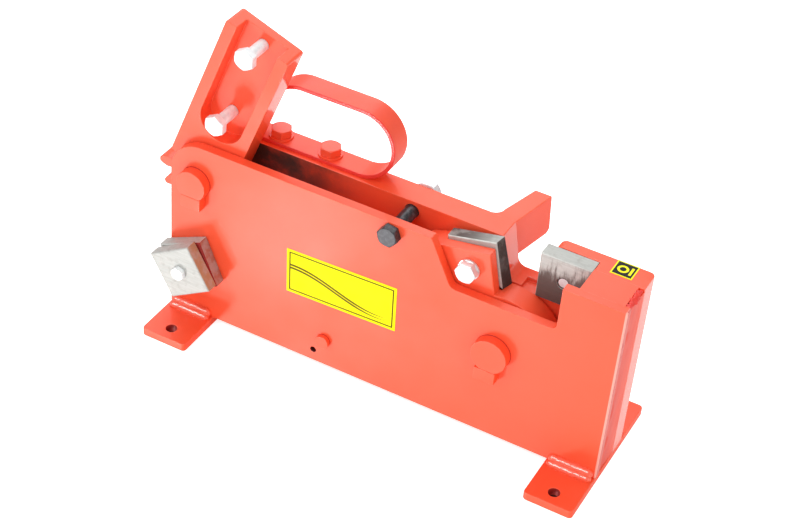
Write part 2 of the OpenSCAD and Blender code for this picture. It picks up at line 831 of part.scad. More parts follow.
module carry_handle_washers() {
    color(paint)
        for (x = strap_bolt_x)
            translate([x, strap_y, top_z + strap_t])
                difference() {
                    cylinder(h = washer_t, r = washer_r(strap_bolt_d));
                    translate([0, 0, -over])
                        cylinder(h = washer_t + 2 * over, r = strap_bolt_d / 2 + bolt_clear);
                }
}

module plate_label() {
    color(yellow)
        slab(front_y - label_t, front_y)
            translate([label_x, label_z])
                rotate(label_tilt)
                    square([label_w, label_h], center = true);
}
module capacity_label() {
    color(yellow)
        translate([mark_x, mark_y, top_z + label_t / 2])
            cube([mark_w, mark_w, label_t], center = true);
}

// Lever socket: gear teeth round the pin and a block with a pocket for the handle bar.
module at_lever() {
    translate([lever_pin_x, 0, lever_pin_z])
        rotate([0, lever_lean, 0])
            children();
}
module socket_outline() {
    circle(r = lever_root, $fn = round_fn);
    for (a = lever_angles)
        polygon(concat([pol(lever_root - tooth_sink, a)], tooth(lever_pitch_r, lever_addendum, a)));
    translate([socket_v0, socket_u0])
        square([socket_w, socket_l - socket_u0 - socket_corner]);
    translate([socket_v0 + socket_corner, socket_u0])
        square([socket_w - 2 * socket_corner, socket_l - socket_u0]);
    for (v = [socket_v0 + socket_corner, socket_v0 + socket_w - socket_corner])
        translate([v, socket_l - socket_corner])
            circle(r = socket_corner);
}
module lever_socket() {
    color(paint)
        at_lever()
            difference() {
                slab(socket_y, socket_y + socket_t)
                    difference() {
                        socket_outline();
                        circle(r = lever_bush_r);
                        for (u = handle_bolt_us)
                            translate([-socket_offset, u])
                                circle(r = handle_bolt_d / 2 + stop_fit);
                    }
                slab(socket_y - over, pocket_floor_y) {
                    translate([-socket_offset, pocket_start])
                        circle(r = pocket_w / 2);
                    translate([-socket_offset - pocket_w / 2, pocket_start])
                        square([pocket_w, socket_l - pocket_start + over]);
                }
            }
}
module lever_bush() {
    color(bronze)
        difference() {
            rod(lever_pin_x, lever_pin_z, lever_bush_r, socket_y, socket_y + socket_t);
            rod(lever_pin_x, lever_pin_z, lever_pin_d / 2 + pin_run, socket_y - over, socket_y + socket_t + over);
        }
}
module handle_bolts() {
    head_y = pocket_floor_y - handle_bolt_show;
    color(zinc)
        at_lever()
            for (u = handle_bolt_us)
                bolt_y(-socket_offset, u, handle_bolt_d, head_y, socket_y + socket_t, handle_head_turn);
}

// Head of the arm against the moving blade: how far its top edge lies below the blade's at the
// left and right, how far its side lies inside the blade's, its run to the left, and the
// width that its corners are blunted.
head_show = 3.5;
head_low = 6;
head_side = 1.5;
head_back = 23;
head_blunt = 1;
// How far the tail's lower corner lies inside the round boss.
boss_bury = 2;
// Shoulder of the arm behind the blade: run and rise from the waist.
shoulder_run = 7;
shoulder_rise = 42;
// Toothed rim: its depth below the roots, and the flats that its arc is made of.
rim_depth = 12;
rim_parts = 12;
// Jaw arm: round boss about the pin, head for the moving blade, tail with a toothed rim.
module tail_outline() {
    polygon(concat(
        [tail_top, [waist_x, waist_z], [waist_x + shoulder_run, waist_z + shoulder_rise]],
        [from_jaw(-head_half - head_back, head_half - head_low), from_jaw(head_blunt - head_half, head_half - head_show)],
        [from_jaw(head_half - head_side, head_half - head_low), from_jaw(head_half - head_side - head_blunt, -head_half)],
        [[0, 0], [boss_bury, boss_bury - boss_r], tail_low]
    ));
}
module rim_outline() {
    rim_step = (sector_last - sector_first) / rim_parts;
    rim_arc = [for (i = [0 : rim_parts]) pol(tail_rim, sector_first + rim_step * i)];
    inner_r = tail_rim - rim_depth;
    polygon(concat([pol(inner_r, sector_last), pol(inner_r, sector_first)], rim_arc));
    for (a = sector_angles)
        polygon(concat([pol(tail_rim - tooth_sink, a)], tooth(sector_pitch_r, sector_addendum, a)));
}
module at_arm() {
    translate([arm_pin_x, 0, arm_pin_z])
        children();
}
module jaw_arm() {
    color(paint)
        difference() {
            at_arm() {
                slab(arm_y, arm_back_y) tail_outline();
                slab(arm_y, arm_back_y) rim_outline();
                rod(0, 0, boss_r, arm_y, arm_back_y);
            }
            rod(arm_pin_x, arm_pin_z, arm_bush_r, arm_y - over, arm_back_y + over);
            at_jaw() {
                rod(0, 0, moving_bolt_d / 2 + bolt_clear, arm_y - over, arm_back_y + over);
                // Pocket for the moving blade, open at the back, the top and the right.
                translate([-head_half - seat_gap, web_back_y, -head_half - seat_gap])
                    cube([2 * blade_w, blade_t * 2, 2 * blade_w]);
            }
        }
}
module arm_bush() {
    color(bronze)
        difference() {
            rod(arm_pin_x, arm_pin_z, arm_bush_r, arm_y, arm_back_y);
            rod(arm_pin_x, arm_pin_z, arm_pin_d / 2 + pin_run, arm_y - over, arm_back_y + over);
        }
}
module at_jaw() {
    translate([arm_pin_x + jaw_c[0], 0, arm_pin_z + jaw_c[1]])
        rotate([0, -jaw_tilt, 0])
            children();
}
module moving_blade() {
    at_jaw() blade(web_back_y);
}
module moving_blade_bolt() {
    color(zinc)
        at_jaw() bolt_y(0, 0, moving_bolt_d, arm_y - washer_t, shear_y - moving_bolt_short, moving_head_turn);
}
module moving_blade_washer() {
    color(zinc)
        at_jaw() ring(0, 0, moving_bolt_d, arm_y - washer_t, jaw_washer_r);
}

front_plate();
rear_plate();
end_block();
end_welds();
left_foot();
right_foot();
left_foot_welds();
right_foot_welds();
bar_guide();
lever_pin();
lever_pin_keeper();
arm_pin();
arm_pin_keeper();
arm_thrust_washer();
tie_bolt();
tie_bolt_washer();
tie_bolt_nut();
stop_pin();
fixed_blade();
fixed_blade_bolt();
fixed_blade_washer();
spare_blade_outer();
spare_blade_inner();
spare_blade_bolt();
carry_handle();
carry_handle_bolts();
carry_handle_washers();
plate_label();
capacity_label();
lever_socket();
lever_bush();
handle_bolts();
jaw_arm();
arm_bush();
moving_blade();
moving_blade_bolt();
moving_blade_washer();
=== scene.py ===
import math

import bmesh
import bpy
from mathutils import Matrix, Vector, noise as ripple


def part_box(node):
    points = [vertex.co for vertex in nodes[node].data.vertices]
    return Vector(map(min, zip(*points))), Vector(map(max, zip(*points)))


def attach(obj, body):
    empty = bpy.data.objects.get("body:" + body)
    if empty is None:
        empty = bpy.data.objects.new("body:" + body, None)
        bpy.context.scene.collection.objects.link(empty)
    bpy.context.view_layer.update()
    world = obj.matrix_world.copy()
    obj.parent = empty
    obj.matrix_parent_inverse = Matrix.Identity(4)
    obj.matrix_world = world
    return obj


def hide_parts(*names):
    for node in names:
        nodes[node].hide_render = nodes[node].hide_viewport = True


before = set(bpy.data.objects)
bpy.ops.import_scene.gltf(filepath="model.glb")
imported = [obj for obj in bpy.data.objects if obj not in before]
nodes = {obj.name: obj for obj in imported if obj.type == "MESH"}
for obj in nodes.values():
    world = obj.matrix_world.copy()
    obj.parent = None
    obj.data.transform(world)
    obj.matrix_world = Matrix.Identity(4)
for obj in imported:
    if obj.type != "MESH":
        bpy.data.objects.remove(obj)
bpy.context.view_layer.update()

# Bodies of the moving pieces; the rest belongs to the frame.
LEVER_PIECES = ("lever_socket", "lever_bush", "handle_bolts")
JAW_PIECES = ("jaw_arm", "arm_bush", "moving_blade", "moving_blade_bolt", "moving_blade_washer")

# Front face of the front plate, back of the rear plate, and the rear plate's inner face along the slot.
FRONT_Y = -0.0335
BACK_Y = 0.0335
SLOT_Y = 0.0065
# Right end of the plates.
END_X = 0.2350
# Middles of the bolt holes in the feet, and their radius.
FOOT_HOLES = ((-0.20998, -0.070), (-0.20998, 0.070), (0.20998, -0.070), (0.20998, 0.070))
FOOT_HOLE_R = 0.0055
# The small hole's place from the middle of the stop pin, and its radius.
SMALL_HOLE_X = -0.0110
SMALL_HOLE_Z = -0.0170
SMALL_HOLE_R = 0.0030
# A point lies in a face if it is closer to it than this.
TOUCH = 0.0001


def body_of(node):
    return "lever" if node in LEVER_PIECES else "jaw" if node in JAW_PIECES else "frame"


# Camera, fitted to the photograph; its turn is in degrees.

CAMERA_LENS = 82.725
CAMERA_SENSOR = 36.0
CAMERA_PLACE = (0.57512, -1.23049, 1.20212)
CAMERA_TURN = (51.740, -4.3336, 28.4623)


def make_camera():
    data = bpy.data.cameras.new("camera")
    data.sensor_width = CAMERA_SENSOR
    data.lens = CAMERA_LENS
    cam = bpy.data.objects.new("camera", data)
    bpy.context.scene.collection.objects.link(cam)
    cam.location = CAMERA_PLACE
    cam.rotation_euler = [math.radians(turn) for turn in CAMERA_TURN]
    bpy.context.scene.camera = cam


make_camera()


# Modelling helpers.

# Points closer than this are one: in a CAD copy, and after a cut.
COPY_REACH = 0.00002
CUT_REACH = 0.00001
# An edge that bends by less than the first angle is dissolved, one that bends by more than the second is rounded.
FLAT_ANGLE = math.radians(0.4)
SHARP_ANGLE = math.radians(32)
# The shading turns softly over edges that bend by less than this.
SMOOTH_ANGLE = math.radians(40)


def deselect():
    if bpy.context.object and bpy.context.object.mode != "OBJECT":
        bpy.ops.object.mode_set(mode="OBJECT")
    bpy.ops.object.select_all(action="DESELECT")


def make_active(obj):
    deselect()
    obj.select_set(True)
    bpy.context.view_layer.objects.active = obj


def join_all(pieces):
    make_active(pieces[0])
    for piece in pieces[1:]:
        piece.select_set(True)
    if len(pieces) > 1:
        bpy.ops.object.join()
    return pieces[0]


def merge(obj, reach):
    """Merges doubled points and dissolves the edges that lie in flat faces."""
    make_active(obj)
    bpy.ops.object.mode_set(mode="EDIT")
    bpy.ops.mesh.select_all(action="SELECT")
    bpy.ops.mesh.remove_doubles(threshold=reach)
    bpy.ops.mesh.dissolve_limited(angle_limit=FLAT_ANGLE)
    bpy.ops.object.mode_set(mode="OBJECT")


def copy_of(node, name):
    """A merged copy of a CAD node's mesh, ready to be bevelled."""
    obj = bpy.data.objects.new(name, nodes[node].data.copy())
    obj.data.materials.clear()
    bpy.context.scene.collection.objects.link(obj)
    make_active(obj)
    bpy.ops.mesh.customdata_custom_splitnormals_clear()
    merge(obj, COPY_REACH)
    return obj


def bevel_edges_at(obj, chosen, width, segments):
    """Rounds only the edges whose two ends the test picks."""
    make_active(obj)
    bpy.ops.object.mode_set(mode="EDIT")
    bpy.ops.mesh.select_mode(type="EDGE")
    bpy.ops.mesh.select_all(action="DESELECT")
    mesh = bmesh.from_edit_mesh(obj.data)
    for edge in mesh.edges:
        edge.select_set(all(chosen(v.co) for v in edge.verts))
    bmesh.update_edit_mesh(obj.data)
    bpy.ops.mesh.bevel(offset=width, segments=segments, affect="EDGES", clamp_overlap=True)
    bpy.ops.object.mode_set(mode="OBJECT")


def round_edges(obj, width, sharp_from=SHARP_ANGLE, spared=None):
    """Rounds the sharp edges, except those whose two ends the test picks."""
    make_active(obj)
    bpy.ops.object.mode_set(mode="EDIT")
    mesh = bmesh.from_edit_mesh(obj.data)
    weight = mesh.edges.layers.float.new("bevel_weight_edge")
    for edge in mesh.edges:
        sharp = edge.calc_face_angle(0.0) > sharp_from
        kept = spared and all(spared(v.co) for v in edge.verts)
        edge[weight] = 1.0 if sharp and not kept else 0.0
    bmesh.update_edit_mesh(obj.data)
    bpy.ops.object.mode_set(mode="OBJECT")
    mod = obj.modifiers.new("rounding", "BEVEL")
    mod.width = width
    mod.segments = 2
    mod.limit_method = "WEIGHT"
    mod.use_clamp_overlap = False
    bpy.ops.object.modifier_apply(modifier=mod.name)


def smooth(obj):
    """Smooth shading that keeps the broad faces flat and lets only the rounded edges turn."""
    make_active(obj)
    bpy.ops.object.shade_smooth_by_angle(angle=SMOOTH_ANGLE)
    mod = obj.modifiers.new("flat_faces", "WEIGHTED_NORMAL")
    mod.mode = "FACE_AREA"
    mod.weight = 100
    mod.keep_sharp = True
    bpy.ops.object.modifier_apply(modifier=mod.name)


def stand_in(obj, node, finish):
    """Gives a finished piece its material and puts it in the place of its CAD node."""
    obj.data.materials.clear()
    obj.data.materials.append(finish)
    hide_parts(node)
    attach(obj, body_of(node))


def softened(node, width, finish):
    """A CAD node's shape with its edges broken, standing in for the node."""
    obj = copy_of(node, node + "_rounded")
    round_edges(obj, width)
    smooth(obj)
    stand_in(obj, node, finish)


def keep_inside(obj, other):
    """Cuts away what stands out of the other shape, and removes that shape."""
    make_active(obj)
    mod = obj.modifiers.new("cut", "BOOLEAN")
    mod.operation = "INTERSECT"
    mod.solver = "EXACT"
    mod.object = other
    bpy.ops.object.modifier_apply(modifier=mod.name)
    bpy.data.objects.remove(other)
    merge(obj, CUT_REACH)


def ringed_bar(radius, length, sides, step):
    """A bar along Z from 0 to its length, cut into rings that can be shaped one by one."""
    bpy.ops.mesh.primitive_cylinder_add(vertices=sides, radius=radius, depth=length,
                                        location=(0, 0, length / 2))
    bar = bpy.context.object
    bpy.ops.object.transform_apply(location=True)
    bpy.ops.object.mode_set(mode="EDIT")
    mesh = bmesh.from_edit_mesh(bar.data)
    upright = [e for e in mesh.edges if abs(e.verts[0].co.z - e.verts[1].co.z) > length / 2]
    bmesh.ops.subdivide_edges(mesh, edges=upright, cuts=max(1, round(length / step) - 1))
    bmesh.update_edit_mesh(bar.data)
    bpy.ops.object.mode_set(mode="OBJECT")
    return bar


def lay_along(bar, start, direction):
    """Turns a bar that was made along Z to its direction and moves it to its start."""
    make_active(bar)
    bar.rotation_euler = Vector(direction).to_track_quat("Z", "Y").to_euler()
    bar.location = start
    bpy.ops.object.transform_apply(location=True, rotation=True, scale=True)


def noise_at(co, scale, shift):
    """Smooth noise at a point, with a scale of its own along each axis."""
    return ripple.noise(Vector((co.x * scale[0], co.y * scale[1], co.z * scale[2])) + Vector(shift))


# A run of weld: its sides and rings, the depth of its swells, and the depth and pitch of its ripple.
BEAD_SIDES = 28
BEAD_STEP = 0.0006
SWELL_DEPTH = 0.16
SWELL_SCALE = (25, 25, 60)
ROUGH_SCALE = (300, 300, 330)
RIPPLE_DEPTH = 0.10
RIPPLE_PITCH = 0.0042
# Square of the radius that a run's rounded end keeps at its tip, as a share.
BEAD_TIP = 0.02


def weld_bead(start, direction, length, radius, seed, rough=0.05):
    """One run of weld: rounded ends, a faint ripple and slow swells."""
    bar = ringed_bar(radius, length, BEAD_SIDES, BEAD_STEP)
    shift = (seed * 3.1, seed * 1.7, 0.0)
    for v in bar.data.vertices:
        end = min(v.co.z, length - v.co.z)
        taper = math.sqrt(max(BEAD_TIP, 1.0 - max(0.0, 1.0 - end / radius) ** 2))
        wave = 1.0 + rough * RIPPLE_DEPTH * math.sin(2 * math.pi * v.co.z / RIPPLE_PITCH)
        swell = 1.0 + SWELL_DEPTH * noise_at(v.co, SWELL_SCALE, shift)
        swell += rough * noise_at(v.co, ROUGH_SCALE, shift)
        v.co.x *= taper * wave * swell
        v.co.y *= taper * wave * swell
    lay_along(bar, start, direction)
    return bar


# Widths over the flats, and the M12 bolt's radius and thread pitch.
M8_FLATS = 0.013
M12_FLATS = 0.019
M12_R = 0.0060
M12_PITCH = 0.00175
# A thread's sides, its rings in one turn, and its depth as a share of the radius.
THREAD_SIDES = 24
THREAD_RINGS = 5
THREAD_DEPTH = 0.085
THREAD_SMOOTH_ANGLE = math.radians(35)


def threaded_rod(start, direction, length, radius, pitch):
    """A rod with a helical thread cut into it."""
    bar = ringed_bar(radius, length, THREAD_SIDES, pitch / THREAD_RINGS)
    for v in bar.data.vertices:
        turn = math.atan2(v.co.y, v.co.x) / (2 * math.pi)
        phase = (v.co.z / pitch - turn) % 1.0
        cut = 1.0 - THREAD_DEPTH * (1.0 - abs(2 * phase - 1.0))
        v.co.x *= cut
        v.co.y *= cut
    lay_along(bar, start, direction)
    make_active(bar)
    bpy.ops.object.shade_smooth_by_angle(angle=THREAD_SMOOTH_ANGLE)
    return bar


HEAD_WAYS = {"front": Vector((0, -1, 0)), "back": Vector((0, 1, 0)), "up": Vector((0, 0, 1))}
# A hexagon head's chamfer: its angle, the share of the flats that it leaves, and the sides it is turned with.
CHAMFER_ANGLE = math.radians(30)
CHAMFER_SHARE = 0.97
CHAMFER_SIDES = 96
# The bar it is turned from is this much wider than its corners.
CHAMFER_ROOM = 1.02
# Broken edges of a head, and the bend from which its edges count.
HEAD_EDGE = 0.00035
HEAD_SHARP_ANGLE = math.radians(25)
# A handle bolt's threaded rod starts at this share of its head's height.
ROD_START = 0.6


def head_turning(face, flats, length, way):
    """The round bar that a hexagon head is turned from, its end chamfered."""
    corner_r, flat_r = flats / math.sqrt(3), flats / 2 * CHAMFER_SHARE
    wide = corner_r * CHAMFER_ROOM
    drop = (corner_r - flat_r) * math.tan(CHAMFER_ANGLE)
    bpy.ops.mesh.primitive_cylinder_add(vertices=CHAMFER_SIDES, radius=wide, depth=length - drop)
    bar = bpy.context.object
    bpy.ops.object.mode_set(mode="EDIT")
    mesh = bmesh.from_edit_mesh(bar.data)
    for f in mesh.faces:
        f.select_set(f.normal.z > 0.9)
    bmesh.update_edit_mesh(bar.data)
    bpy.ops.mesh.extrude_region_move(TRANSFORM_OT_translate={"value": (0, 0, drop)})
    bpy.ops.transform.resize(value=(flat_r / wide, flat_r / wide, 1))
    bpy.ops.object.mode_set(mode="OBJECT")
    lay_along(bar, Vector(face) - way * (drop + (length - drop) / 2), way)
    return bar


def turn_heads(obj, faces, flats, length, way):
    """Chamfers the hexagon heads whose end faces are given, and breaks their edges."""
    bars = []
    for face in faces:
        deselect()
        bars.append(head_turning(face, flats, length, way))
    keep_inside(obj, join_all(bars))
    round_edges(obj, HEAD_EDGE, HEAD_SHARP_ANGLE)
    smooth(obj)


def hexagon_bolts(node, faces, flats, length, direction, finish):
    """Bolts with chamfered hexagon heads, in place of a CAD node that holds one or more of them."""
    obj = copy_of(node, node + "_turned")
    turn_heads(obj, faces, flats, length, HEAD_WAYS[direction])
    stand_in(obj, node, finish)


def handle_bolts(faces, head_h, shank_l, finish):
    """The two long bolts in the socket's pocket, threaded up to the head."""
    obj = copy_of("handle_bolts", "handle_bolts_threaded")
    way = HEAD_WAYS["front"]
    turn_heads(obj, faces, M12_FLATS, head_h, way)
    inside = head_h * ROD_START
    rods = []
    for face in faces:
        deselect()
        rods.append(threaded_rod(Vector(face) - way * inside, -way, shank_l - inside, M12_R, M12_PITCH))
    obj = join_all([obj] + rods)
    stand_in(obj, "handle_bolts", finish)


# Shader helpers.

def group(name, inputs, outputs):
    g = bpy.data.node_groups.new(name, "ShaderNodeTree")
    for label, kind, value in inputs:
        g.interface.new_socket(name=label, in_out="INPUT", socket_type=kind).default_value = value
    for label, kind in outputs:
        g.interface.new_socket(name=label, in_out="OUTPUT", socket_type=kind)
    return g, g.nodes.new("NodeGroupInput"), g.nodes.new("NodeGroupOutput")


def feed(tree, socket, value):
    """Links a socket's value, or types a number or colour in."""
    if hasattr(value, "is_linked"):
        tree.links.new(value, socket)
    else:
        socket.default_value = value


def maths(tree, op, a, b=None, third=None, clamp=False):
    n = tree.nodes.new("ShaderNodeMath")
    n.operation = op
    n.use_clamp = clamp
    for i, v in enumerate((a, b, third)):
        if v is not None:
            feed(tree, n.inputs[i], v)
    return n.outputs[0]


def chain(tree, op, first, *others):
    """One operation run through several values: their product, their sum or the greatest."""
    for value in others:
        first = maths(tree, op, first, value)
    return first


def mix_colour(tree, fac, a, b):
    """Mixes two colours; 0, 6 and 7 are the node's factor and colour sockets, 2 its colour output."""
    n = tree.nodes.new("ShaderNodeMix")
    n.data_type = "RGBA"
    for i, v in ((0, fac), (6, a), (7, b)):
        feed(tree, n.inputs[i], v)
    return n.outputs[2]


def map_range(tree, value, lo, hi, out_lo=0.0, out_hi=1.0, soft=False):
    n = tree.nodes.new("ShaderNodeMapRange")
    n.interpolation_type = "SMOOTHSTEP" if soft else "LINEAR"
    for i, v in enumerate((value, lo, hi, out_lo, out_hi)):
        feed(tree, n.inputs[i], v)
    return n.outputs[0]


# A mask fades between these distances beyond its limit.
FADE_OUT = 0.0004
FADE_IN = 0.0001


def within(tree, value, limit):
    """1 up to a limit, fading to 0 just beyond it."""
    return map_range(tree, value, limit + FADE_OUT, limit + FADE_IN)


def noise(tree, vector, scale, detail, rough):
    n = tree.nodes.new("ShaderNodeTexNoise")
    n.inputs["Detail"].default_value = detail
    n.inputs["Roughness"].default_value = rough
    feed(tree, n.inputs["Vector"], vector)
    feed(tree, n.inputs["Scale"], scale)
    return n.outputs["Fac"]


def dot_product(tree, a, b):
    n = tree.nodes.new("ShaderNodeVectorMath")
    n.operation = "DOT_PRODUCT"
    tree.links.new(a, n.inputs[0])
    tree.links.new(b, n.inputs[1])
    return n.outputs["Value"]


def object_coords(tree):
    return tree.nodes.new("ShaderNodeTexCoord").outputs["Object"]


def split(tree, vector):
    n = tree.nodes.new("ShaderNodeSeparateXYZ")
    tree.links.new(vector, n.inputs[0])
    return n.outputs


def point(tree):
    """X, Y and Z of the shaded point in the piece's own axes."""
    return split(tree, object_coords(tree))


def film_point(tree, centre, turn=0.0):
    """X, Y and Z of the shaded point from a film's middle, along the film."""
    m = tree.nodes.new("ShaderNodeMapping")
    m.vector_type = "TEXTURE"
    m.inputs["Location"].default_value = centre
    m.inputs["Rotation"].default_value = (0.0, turn, 0.0)
    tree.links.new(object_coords(tree), m.inputs["Vector"])
    return split(tree, m.outputs[0])


def from_axis(tree, a, b, axis_a, axis_b):
    """Distance from an axis, in the two coordinates square to it."""
    a = maths(tree, "SUBTRACT", a, axis_a)
    b = maths(tree, "SUBTRACT", b, axis_b)
    squares = maths(tree, "ADD", maths(tree, "MULTIPLY", a, a), maths(tree, "MULTIPLY", b, b))
    return maths(tree, "SQRT", squares)


# Shader groups.

FLOAT = "NodeSocketFloat"
VECTOR = "NodeSocketVector"
# Cosines of the lean at which the rubbed edges and the painted edge highlight start and are full, and of the turn
# at which a face starts to count as facing a direction and counts in full.
RUB_AND_HIGHLIGHT_COSINES = (0.995, 0.85)
FACING_COSINES = (0.75, 0.92)


def patches_group():
    """Soft cloudy patches: 0 to 1 where the noise passes a threshold."""
    inputs = [("Scale", FLOAT, 20.0), ("Start", FLOAT, 0.5), ("End", FLOAT, 0.7)]
    g, gi, go = group("patches", inputs, [("Mask", FLOAT)])
    cloud = noise(g, object_coords(g), gi.outputs["Scale"], 5.0, 0.6)
    passed = map_range(g, cloud, gi.outputs["Start"], gi.outputs["End"], soft=True)
    g.links.new(passed, go.inputs["Mask"])
    return g


def sprayed_group():
    """Orange peel of sprayed paint: a fine height and a slow change of gloss."""
    g, gi, go = group("sprayed_skin", [("Peel", FLOAT, 600.0), ("Cloud", FLOAT, 14.0)],
                      [("Height", FLOAT), ("Cloud", FLOAT)])
    c = object_coords(g)
    g.links.new(noise(g, c, gi.outputs["Peel"], 2.0, 0.5), go.inputs["Height"])
    g.links.new(noise(g, c, gi.outputs["Cloud"], 3.0, 0.55), go.inputs["Cloud"])
    return g


def edge_group():
    """Mask of the outer edges, from how far a rounded normal leans from the true one; on the paint it also places
    a painted highlight.
    """
    g, gi, go = group("rubbed_and_highlit_edges", [("Reach", FLOAT, 0.001), ("Scale", FLOAT, 120.0)], [("Mask", FLOAT)])
    b = g.nodes.new("ShaderNodeBevel")
    b.samples = 4
    g.links.new(gi.outputs["Reach"], b.inputs["Radius"])
    geo = g.nodes.new("ShaderNodeNewGeometry")
    lean = map_range(g, dot_product(g, b.outputs[0], geo.outputs["True Normal"]), *RUB_AND_HIGHLIGHT_COSINES)
    broken = map_range(g, noise(g, object_coords(g), gi.outputs["Scale"], 4.0, 0.6), 0.35, 0.6)
    g.links.new(maths(g, "MULTIPLY", lean, broken), go.inputs["Mask"])
    return g


def streak_group():
    """Long narrow streaks: noise drawn out along the direction with the small scale."""
    g, gi, go = group("streaks", [("Stretch", VECTOR, (1.0, 1.0, 0.1)), ("Scale", FLOAT, 300.0)],
                      [("Line", FLOAT)])
    m = g.nodes.new("ShaderNodeMapping")
    g.links.new(gi.outputs["Stretch"], m.inputs["Scale"])
    g.links.new(object_coords(g), m.inputs["Vector"])
    g.links.new(noise(g, m.outputs[0], gi.outputs["Scale"], 4.0, 0.7), go.inputs["Line"])
    return g


def facing_group():
    """Mask of the faces that look in one direction of the piece's own axes."""
    g, gi, go = group("facing", [("Direction", VECTOR, (0.0, -1.0, 0.0))], [("Mask", FLOAT)])
    normal = g.nodes.new("ShaderNodeTexCoord").outputs["Normal"]
    turned = map_range(g, dot_product(g, normal, gi.outputs["Direction"]), *FACING_COSINES)
    g.links.new(turned, go.inputs["Mask"])
    return g


GROUPS = {"patches": patches_group(), "sprayed": sprayed_group(), "edges": edge_group(),
          "streaks": streak_group(), "facing": facing_group()}


def use(tree, key, **values):
    n = tree.nodes.new("ShaderNodeGroup")
    n.node_tree = GROUPS[key]
    for k, v in values.items():
        n.inputs[k].default_value = v
    return n.outputs


def mask(tree, key, lo=0.0, hi=1.0, **values):
    """A group's first output, brought to a range of its own."""
    return map_range(tree, use(tree, key, **values)[0], 0.0, 1.0, lo, hi)


def new_material(name):
    mat = bpy.data.materials.new(name)
    mat.use_nodes = True
    return mat, mat.node_tree, mat.node_tree.nodes["Principled BSDF"]


def bump(tree, shader, height, distance, strength):
    b = tree.nodes.new("ShaderNodeBump")
    b.inputs["Distance"].default_value = distance
    b.inputs["Strength"].default_value = strength
    tree.links.new(height, b.inputs["Height"])
    tree.links.new(b.outputs[0], shader.inputs["Normal"])


# Paint.

CORAL = (0.96, 0.078, 0.014, 1)
CORAL_DEEP = (0.90, 0.060, 0.011, 1)
# Pale coral for the rounded edges: partly rubbed paint, partly a painted highlight.
CORAL_EDGE_HIGHLIGHT = (0.97, 0.28, 0.18, 1)
# Painted highlight down the front plate's right edge.
EDGE_HIGHLIGHT_PALE = (0.97, 0.44, 0.36, 1)
SEAM_RED = (0.62, 0.022, 0.010, 1)
# Dark red of paint pooled in a weld bead; also the painted shade on the strap's front edge.
BEAD_AND_SHADE_RED = (0.80, 0.014, 0.007, 1)
# Thicker, darker red: a deeper coat on the strap, dark pits, and the painted shade on the end weld metal.
THICK_RED_AND_SHADE = (0.66, 0.034, 0.020, 1)
# Painted shade inside the small hole's bore.
BORE_SHADE = (0.12, 0.010, 0.006, 1)
HOLE_RED = (0.40, 0.014, 0.008, 1)
SLOT_DARK = (0.030, 0.016, 0.010, 1)

PAINT_IOR = 1.57
PAINT_COAT_ROUGHNESS = 0.09
PEEL_HEIGHT = 0.00006

# Where along the slot the near-black colour starts, and where it is darkest.
SLOT_DARK_START_X = -0.020
SLOT_DARK_FULL_X = -0.125
# Half width of the dark line around a pin.
PIN_LINE_HALF = 0.0007
# Painted shade on the strap's front edge: where it ends and is full, behind the strap's front, and how strong it
# is.
STRAP_SHADE_END = 0.0013
STRAP_SHADE_FULL = 0.0009
STRAP_SHADE = 0.85
# How far in from the rear plate the painted shade on the end weld metal is darkest.
END_SHADE_DEPTH = 0.022
# The painted highlight, a pale line at the plate's right edge: where it starts and is full, where behind the front
# face its pits start and are full, and how strong it is.
EDGE_HIGHLIGHT_X = (END_X - 0.0018, END_X - 0.0010)
EDGE_HIGHLIGHT_PITS_Y = (FRONT_Y + 0.0022, FRONT_Y + 0.0028)
EDGE_HIGHLIGHT_AMOUNT = 0.85


def slot_darkening(tree, colour):
    """Near-black in patches on the rear plate's inner face, darkest at the left end of the slot."""
    at = point(tree)
    inner = within(tree, at["Y"], SLOT_Y)
    left = map_range(tree, at["X"], SLOT_DARK_START_X, SLOT_DARK_FULL_X, soft=True)
    streak = mask(tree, "patches", 0.55, 1.0, Scale=38.0, Start=0.25, End=0.62)
    return mix_colour(tree, chain(tree, "MULTIPLY", inner, left, streak), colour, SLOT_DARK)


def seam_shadow(tree, colour):
    """Dark line in the clearance where a pin comes out of the front plate."""
    near = maths(tree, "COMPARE", point(tree)["Y"], FRONT_Y - TOUCH, PIN_LINE_HALF)
    broken = mask(tree, "patches", 0.75, 1.0, Scale=120.0, Start=0.3, End=0.6)
    return mix_colour(tree, maths(tree, "MULTIPLY", near, broken), colour, SEAM_RED)


def deeper_coat(tree, colour):
    """A thicker, darker coat, as on the strap and its bolts."""
    cloud = mask(tree, "patches", 0.15, 0.40, Scale=25.0, Start=0.35, End=0.65)
    return mix_colour(tree, cloud, colour, THICK_RED_AND_SHADE)


def strap_coat_and_shade(tree, colour):
    """The deeper coat, and painted shade that makes the strap's narrow front edge darker still."""
    front_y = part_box("carry_handle")[0][1]
    # Painted shade along the strap's front edge.
    edge = map_range(tree, point(tree)["Y"], front_y + STRAP_SHADE_END, front_y + STRAP_SHADE_FULL, 0.0, STRAP_SHADE)
    return mix_colour(tree, edge, deeper_coat(tree, colour), BEAD_AND_SHADE_RED)


def bead_coat(tree, colour):
    """Paint that has run into a rough bead of weld."""
    cloud = mask(tree, "patches", 0.80, 1.0, Scale=90.0, Start=0.35, End=0.65)
    return mix_colour(tree, cloud, colour, BEAD_AND_SHADE_RED)


def end_coat_and_shade(tree, colour):
    """Paint over the weld metal at the right end, streaked, with painted shade of the recess darkening it towards
    the front plate.
    """
    # Painted shade of the recess, stronger towards the front plate.
    front = map_range(tree, point(tree)["Y"], SLOT_Y, SLOT_Y - END_SHADE_DEPTH, 0.25, 0.75)
    lines = use(tree, "streaks", Stretch=(1.0, 1.0, 0.12), Scale=140.0)[0]
    amount = maths(tree, "MULTIPLY", front, map_range(tree, lines, 0.35, 0.65, 0.6, 1.0))
    return mix_colour(tree, amount, colour, THICK_RED_AND_SHADE)


